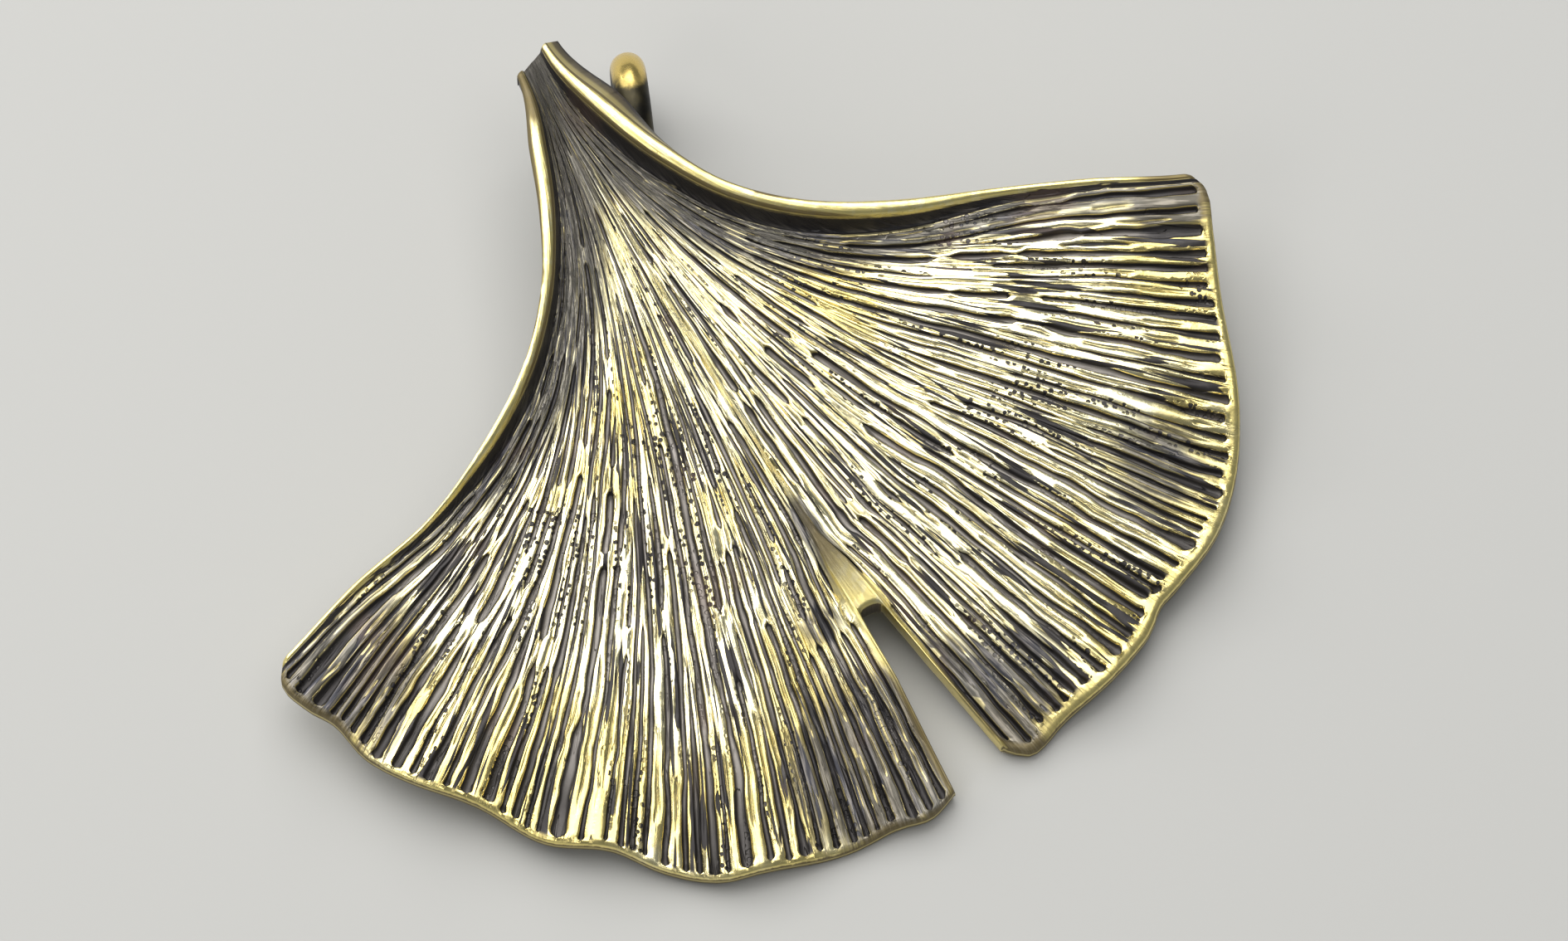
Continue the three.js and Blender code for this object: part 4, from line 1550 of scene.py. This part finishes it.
    def _wall_marks(self, column: np.ndarray, row: np.ndarray, layer: np.ndarray) -> dict[str, np.ndarray]:
        """Finish of the outside wall and of the back: dark at the stem, rubbed towards the corners. The dark
        on the side walls, on the lower ring at the outer edge and at the slit's inner end is partly painted
        shade.

        Args:
            column: Each vertex's column.
            row: Its row.
            layer: Its layer, from the back to the front.

        Returns:
            The groove, burnish and tarnish-and-shade marks, which hold for all but the front.
        """
        rows, columns = self.front.shape[:2]
        wall = (layer > 0) & (layer < self.LAYERS - 1)
        side = (column == 0) | (column == columns - 1)
        in_bridge = (column >= self.left_columns) & (column < self.left_columns + self.bridge_columns)
        at_apex = (row == self.apex_row) & in_bridge
        # Painted shade over some patina: darkest on the side walls near the stem, on the stem's cut end, on
        # the lower ring at the outer edge and at the slit's inner end.
        tarnish_and_shade = np.where(side, 1.6 - 1.2 * smoothstep(row / rows, 0.4, 0.85), 0.2)
        tarnish_and_shade = np.where(row == 0, 1.6, tarnish_and_shade)
        tarnish_and_shade = np.where(row == rows - 1, np.where(layer == 1, 1.2, 0.8), tarnish_and_shade)
        groove = np.where(wall, 0.5 * smoothstep(tarnish_and_shade, 0.9, 1.4), 0.0)
        tarnish_and_shade = np.where(wall, np.where(at_apex, 1.6, tarnish_and_shade), 0.3)
        burnish = np.where(wall & (row > 0) & ~at_apex, 1.0, 0.0)
        burnish = np.where(side, burnish * smoothstep(row / rows, 0.5, 0.9), burnish)
        return {"groove": groove, "burnish": burnish, "tarnish_and_shade": tarnish_and_shade}

    def _thin(self, piece: bpy.types.Object) -> None:
        """Takes out vertices where the surface is smooth, and gives the rest their finish.

        Args:
            piece: The leaf with all its vertices.
        """
        mesh = piece.data
        mesh.calc_loop_triangles()
        ratio = min(1.0, self.face_budget / len(mesh.loop_triangles))
        apply_modifier(piece, "DECIMATE", ratio=ratio, use_collapse_triangulate=True)

        tree = kdtree.KDTree(len(self.full_place))
        for i, place in enumerate(self.full_place):
            tree.insert(place, i)
        tree.balance()
        mesh = piece.data
        nearest = np.array([tree.find(vertex.co)[1] for vertex in mesh.vertices])
        marks = {key: value[nearest] for key, value in self.full_marks.items()}
        lateral, run = marks.pop("lateral"), marks.pop("run")
        marks["vein_place"] = np.stack([lateral, run, np.zeros_like(run)], axis=1)
        for name, values in marks.items():
            write_mark(mesh, name, values)
        mesh.shade_smooth()
        mesh.update()


# ------------------------------------------------------------------ the ring


@dataclass
class HangingRing:
    """Round wire ring that stands on edge, soldered to the right side of the stem (mm).

    Attributes:
        outer_diameter: Diameter over the wire.
        wire_diameter: Diameter of the wire.
        centre: Centre in the layout's plan.
        turn: Turn of the ring's plane from +Y towards +X, in degrees.
        foot_wear: How much is worn off where it touches the surface.
        solder: Blobs of solder: how far each is ahead of and above the centre, and its half sizes.
        solder_side: How far the solder is off the ring's plane, towards the stem.
        voxel: Fineness in metres at which ring and solder flow together.
        softening: Number of passes that smooth them.
    """

    outer_diameter: float = 8.0
    wire_diameter: float = 2.1
    centre: tuple[float, float] = (3.7, 23.42)
    turn: float = 23.5
    foot_wear: float = 0.08
    solder: tuple[tuple[float, float, Triple], ...] = (
        (-3.1, 1.9, (1.0, 1.5, 1.3)),
        (-2.6, 2.6, (0.9, 1.2, 0.9)),
    )
    solder_side: float = 0.75
    voxel: float = 0.0001
    softening: int = 14

    def build(self) -> bpy.types.Object:
        """Makes the ring and its solder joint.

        Returns:
            The finished piece.
        """
        wire = self.wire_diameter / 2
        radius = self.outer_diameter / 2 - wire
        height = self.outer_diameter / 2 - self.foot_wear
        middle = Vector((self.centre[0] + MOVE_TO_ORIGIN[0], self.centre[1] + MOVE_TO_ORIGIN[1], height))
        angle = math.radians(self.turn)
        forward = Vector((math.sin(angle), math.cos(angle), 0.0))
        sideways = Vector((forward.y, -forward.x, 0.0))

        deselect_all()
        bpy.ops.mesh.primitive_torus_add(
            major_segments=96, minor_segments=32, major_radius=radius * MM, minor_radius=wire * MM,
        )
        ring = bpy.context.object
        turned = Matrix((forward, Vector((0, 0, 1)), sideways)).transposed().to_4x4()
        ring.data.transform(Matrix.Translation(middle * MM) @ turned)
        blobs = [ring]
        for ahead, up, half_sizes in self.solder:
            deselect_all()
            bpy.ops.mesh.primitive_uv_sphere_add(segments=32, ring_count=20, radius=MM)
            blob = bpy.context.object
            spot = middle + forward * ahead + Vector((0, 0, up)) - sideways * self.solder_side
            blob.data.transform(Matrix.Translation(spot * MM) @ Matrix.Diagonal((*half_sizes, 1.0)))
            blobs.append(blob)
        select_only(ring)
        for blob in blobs:
            blob.select_set(True)
        bpy.ops.object.join()
        ring = bpy.context.object
        ring.name = ring.data.name = "hanging_ring_wire"
        apply_modifier(ring, "REMESH", mode="VOXEL", voxel_size=self.voxel)
        apply_modifier(ring, "SMOOTH", factor=0.5, iterations=self.softening)
        self._finish(ring, middle, forward)
        return ring

    def _finish(self, ring: bpy.types.Object, middle: Vector, forward: Vector) -> None:
        """Flattens the worn foot and marks the rubbed outer end.

        Args:
            ring: The ring.
            middle: Its middle, in mm.
            forward: The level direction in its plane that points away from the fan.
        """
        mesh = ring.data
        place = read_vectors(mesh.vertices, "co")
        place[:, 2] = np.maximum(place[:, 2], 0.0)
        write_places(mesh, place)
        offset = place / MM - np.array(middle)
        ahead = offset @ np.array(forward)
        write_mark(mesh, "burnish", smoothstep(0.75 * ahead + 0.65 * offset[:, 2], 2.2, 4.2))
        mesh.shade_smooth()
        mesh.update()


# ------------------------------------------------------------------ studio


@dataclass(frozen=True)
class SoftLight:
    """A rectangular soft light that faces the pendant.

    Attributes:
        name: Name of the light.
        place: Where it hangs, in metres.
        size: Its width and height, in metres.
        power: Its power in watts.
        colour: Its colour.
    """

    name: str
    place: Triple
    size: tuple[float, float]
    power: float
    colour: Triple

    def hang(self) -> None:
        """Puts the light into the scene."""
        light = bpy.data.lights.new(self.name, "AREA")
        light.shape = "RECTANGLE"
        light.size, light.size_y = self.size
        light.energy = self.power
        light.color = self.colour
        holder = bpy.data.objects.new(self.name, light)
        holder.location = self.place
        holder.rotation_euler = (-Vector(self.place)).to_track_quat("-Z", "Y").to_euler()
        bpy.context.scene.collection.objects.link(holder)


@dataclass
class Studio:
    """Pale floor, soft light and the camera.

    Attributes:
        camera_azimuth: Turn of the camera round the pendant, in degrees.
        camera_elevation: Height of the camera over the floor, in degrees.
        camera_distance: Distance to what it looks at, in metres.
        lens: Focal length in mm.
        aim: What it looks at, in the layout's mm.
        air: Colour of the light from all round.
        air_strength: Strength of that light.
        lights: The soft lights.
    """

    camera_azimuth: float = -31.0
    camera_elevation: float = 69.5
    camera_distance: float = 0.353
    lens: float = 140.0
    aim: Triple = (0.0, 0.0, 3.5)
    air: Triple = (0.75, 0.8, 0.86)
    air_strength: float = 0.25
    lights: tuple[SoftLight, ...] = (
        SoftLight("window", (-0.01, 0.36, 0.5), (0.9, 0.6), 6.0, (1.0, 0.99, 0.97)),
        SoftLight("overhead", (0.055, -0.01, 0.46), (0.38, 0.34), 1.1, (1.0, 0.98, 0.94)),
        SoftLight("side", (-0.45, -0.1, 0.35), (0.25, 0.25), 0.6, (1.0, 0.97, 0.92)),
        SoftLight("back", (-0.3, 0.55, 0.22), (0.35, 0.25), 0.9, (1.0, 0.98, 0.94)),
    )

    def build(self) -> None:
        """Sets up the floor, the lights and the camera."""
        self._floor()
        self._light()
        self._camera()

    def _floor(self) -> None:
        """Lays a plain pale floor."""
        deselect_all()
        bpy.ops.mesh.primitive_plane_add(size=1.6, location=(0, 0, 0))
        floor = bpy.context.object
        floor.name = "floor"
        paper = NodeSketch("pale_paper")
        paper.feed(paper.shader.inputs["Base Color"], (0.38, 0.38, 0.37, 1.0))
        paper.feed(paper.shader.inputs["Roughness"], 0.85)
        floor.data.materials.append(paper.material)

    def _light(self) -> None:
        """Fills the air with faint light and hangs the soft lights."""
        world = bpy.data.worlds.new("studio_air")
        world.use_nodes = True
        background = world.node_tree.nodes["Background"]
        background.inputs["Color"].default_value = (*self.air, 1.0)
        background.inputs["Strength"].default_value = self.air_strength
        bpy.context.scene.world = world
        for light in self.lights:
            light.hang()
        bpy.context.scene.view_settings.view_transform = "Standard"

    def _camera(self) -> None:
        """Sets the camera."""
        azimuth, elevation = math.radians(self.camera_azimuth), math.radians(self.camera_elevation)
        level = math.cos(elevation)
        back = Vector((math.sin(azimuth) * level, -math.cos(azimuth) * level, math.sin(elevation)))
        aim = Vector(self.aim) * MM + Vector(MOVE_TO_ORIGIN) * MM
        lens = bpy.data.cameras.new("camera")
        lens.lens = self.lens
        lens.sensor_width = 36.0
        lens.sensor_fit = "HORIZONTAL"
        lens.clip_start = 0.01
        lens.clip_end = 10.0
        camera = bpy.data.objects.new("camera", lens)
        camera.location = aim + back * self.camera_distance
        camera.rotation_euler = back.to_track_quat("Z", "Y").to_euler()
        bpy.context.scene.collection.objects.link(camera)
        bpy.context.scene.camera = camera


def main() -> None:
    """Builds the pendant and its studio."""
    logging.basicConfig(level=logging.INFO, format="%(name)s: %(message)s")
    Studio().build()
    brass = OxidisedBrass()

    leaf = LeafCasting().build()
    leaf.data.materials.append(brass.leaf())
    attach(leaf, "root")
    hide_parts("leaf")
    LOG.info("leaf: %d faces", len(leaf.data.polygons))

    ring = HangingRing().build()
    ring.data.materials.append(brass.ring())
    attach(ring, "root")
    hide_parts("hanging_ring")
    LOG.info("ring: %d faces", len(ring.data.polygons))


if __name__ == "__main__":
    main()
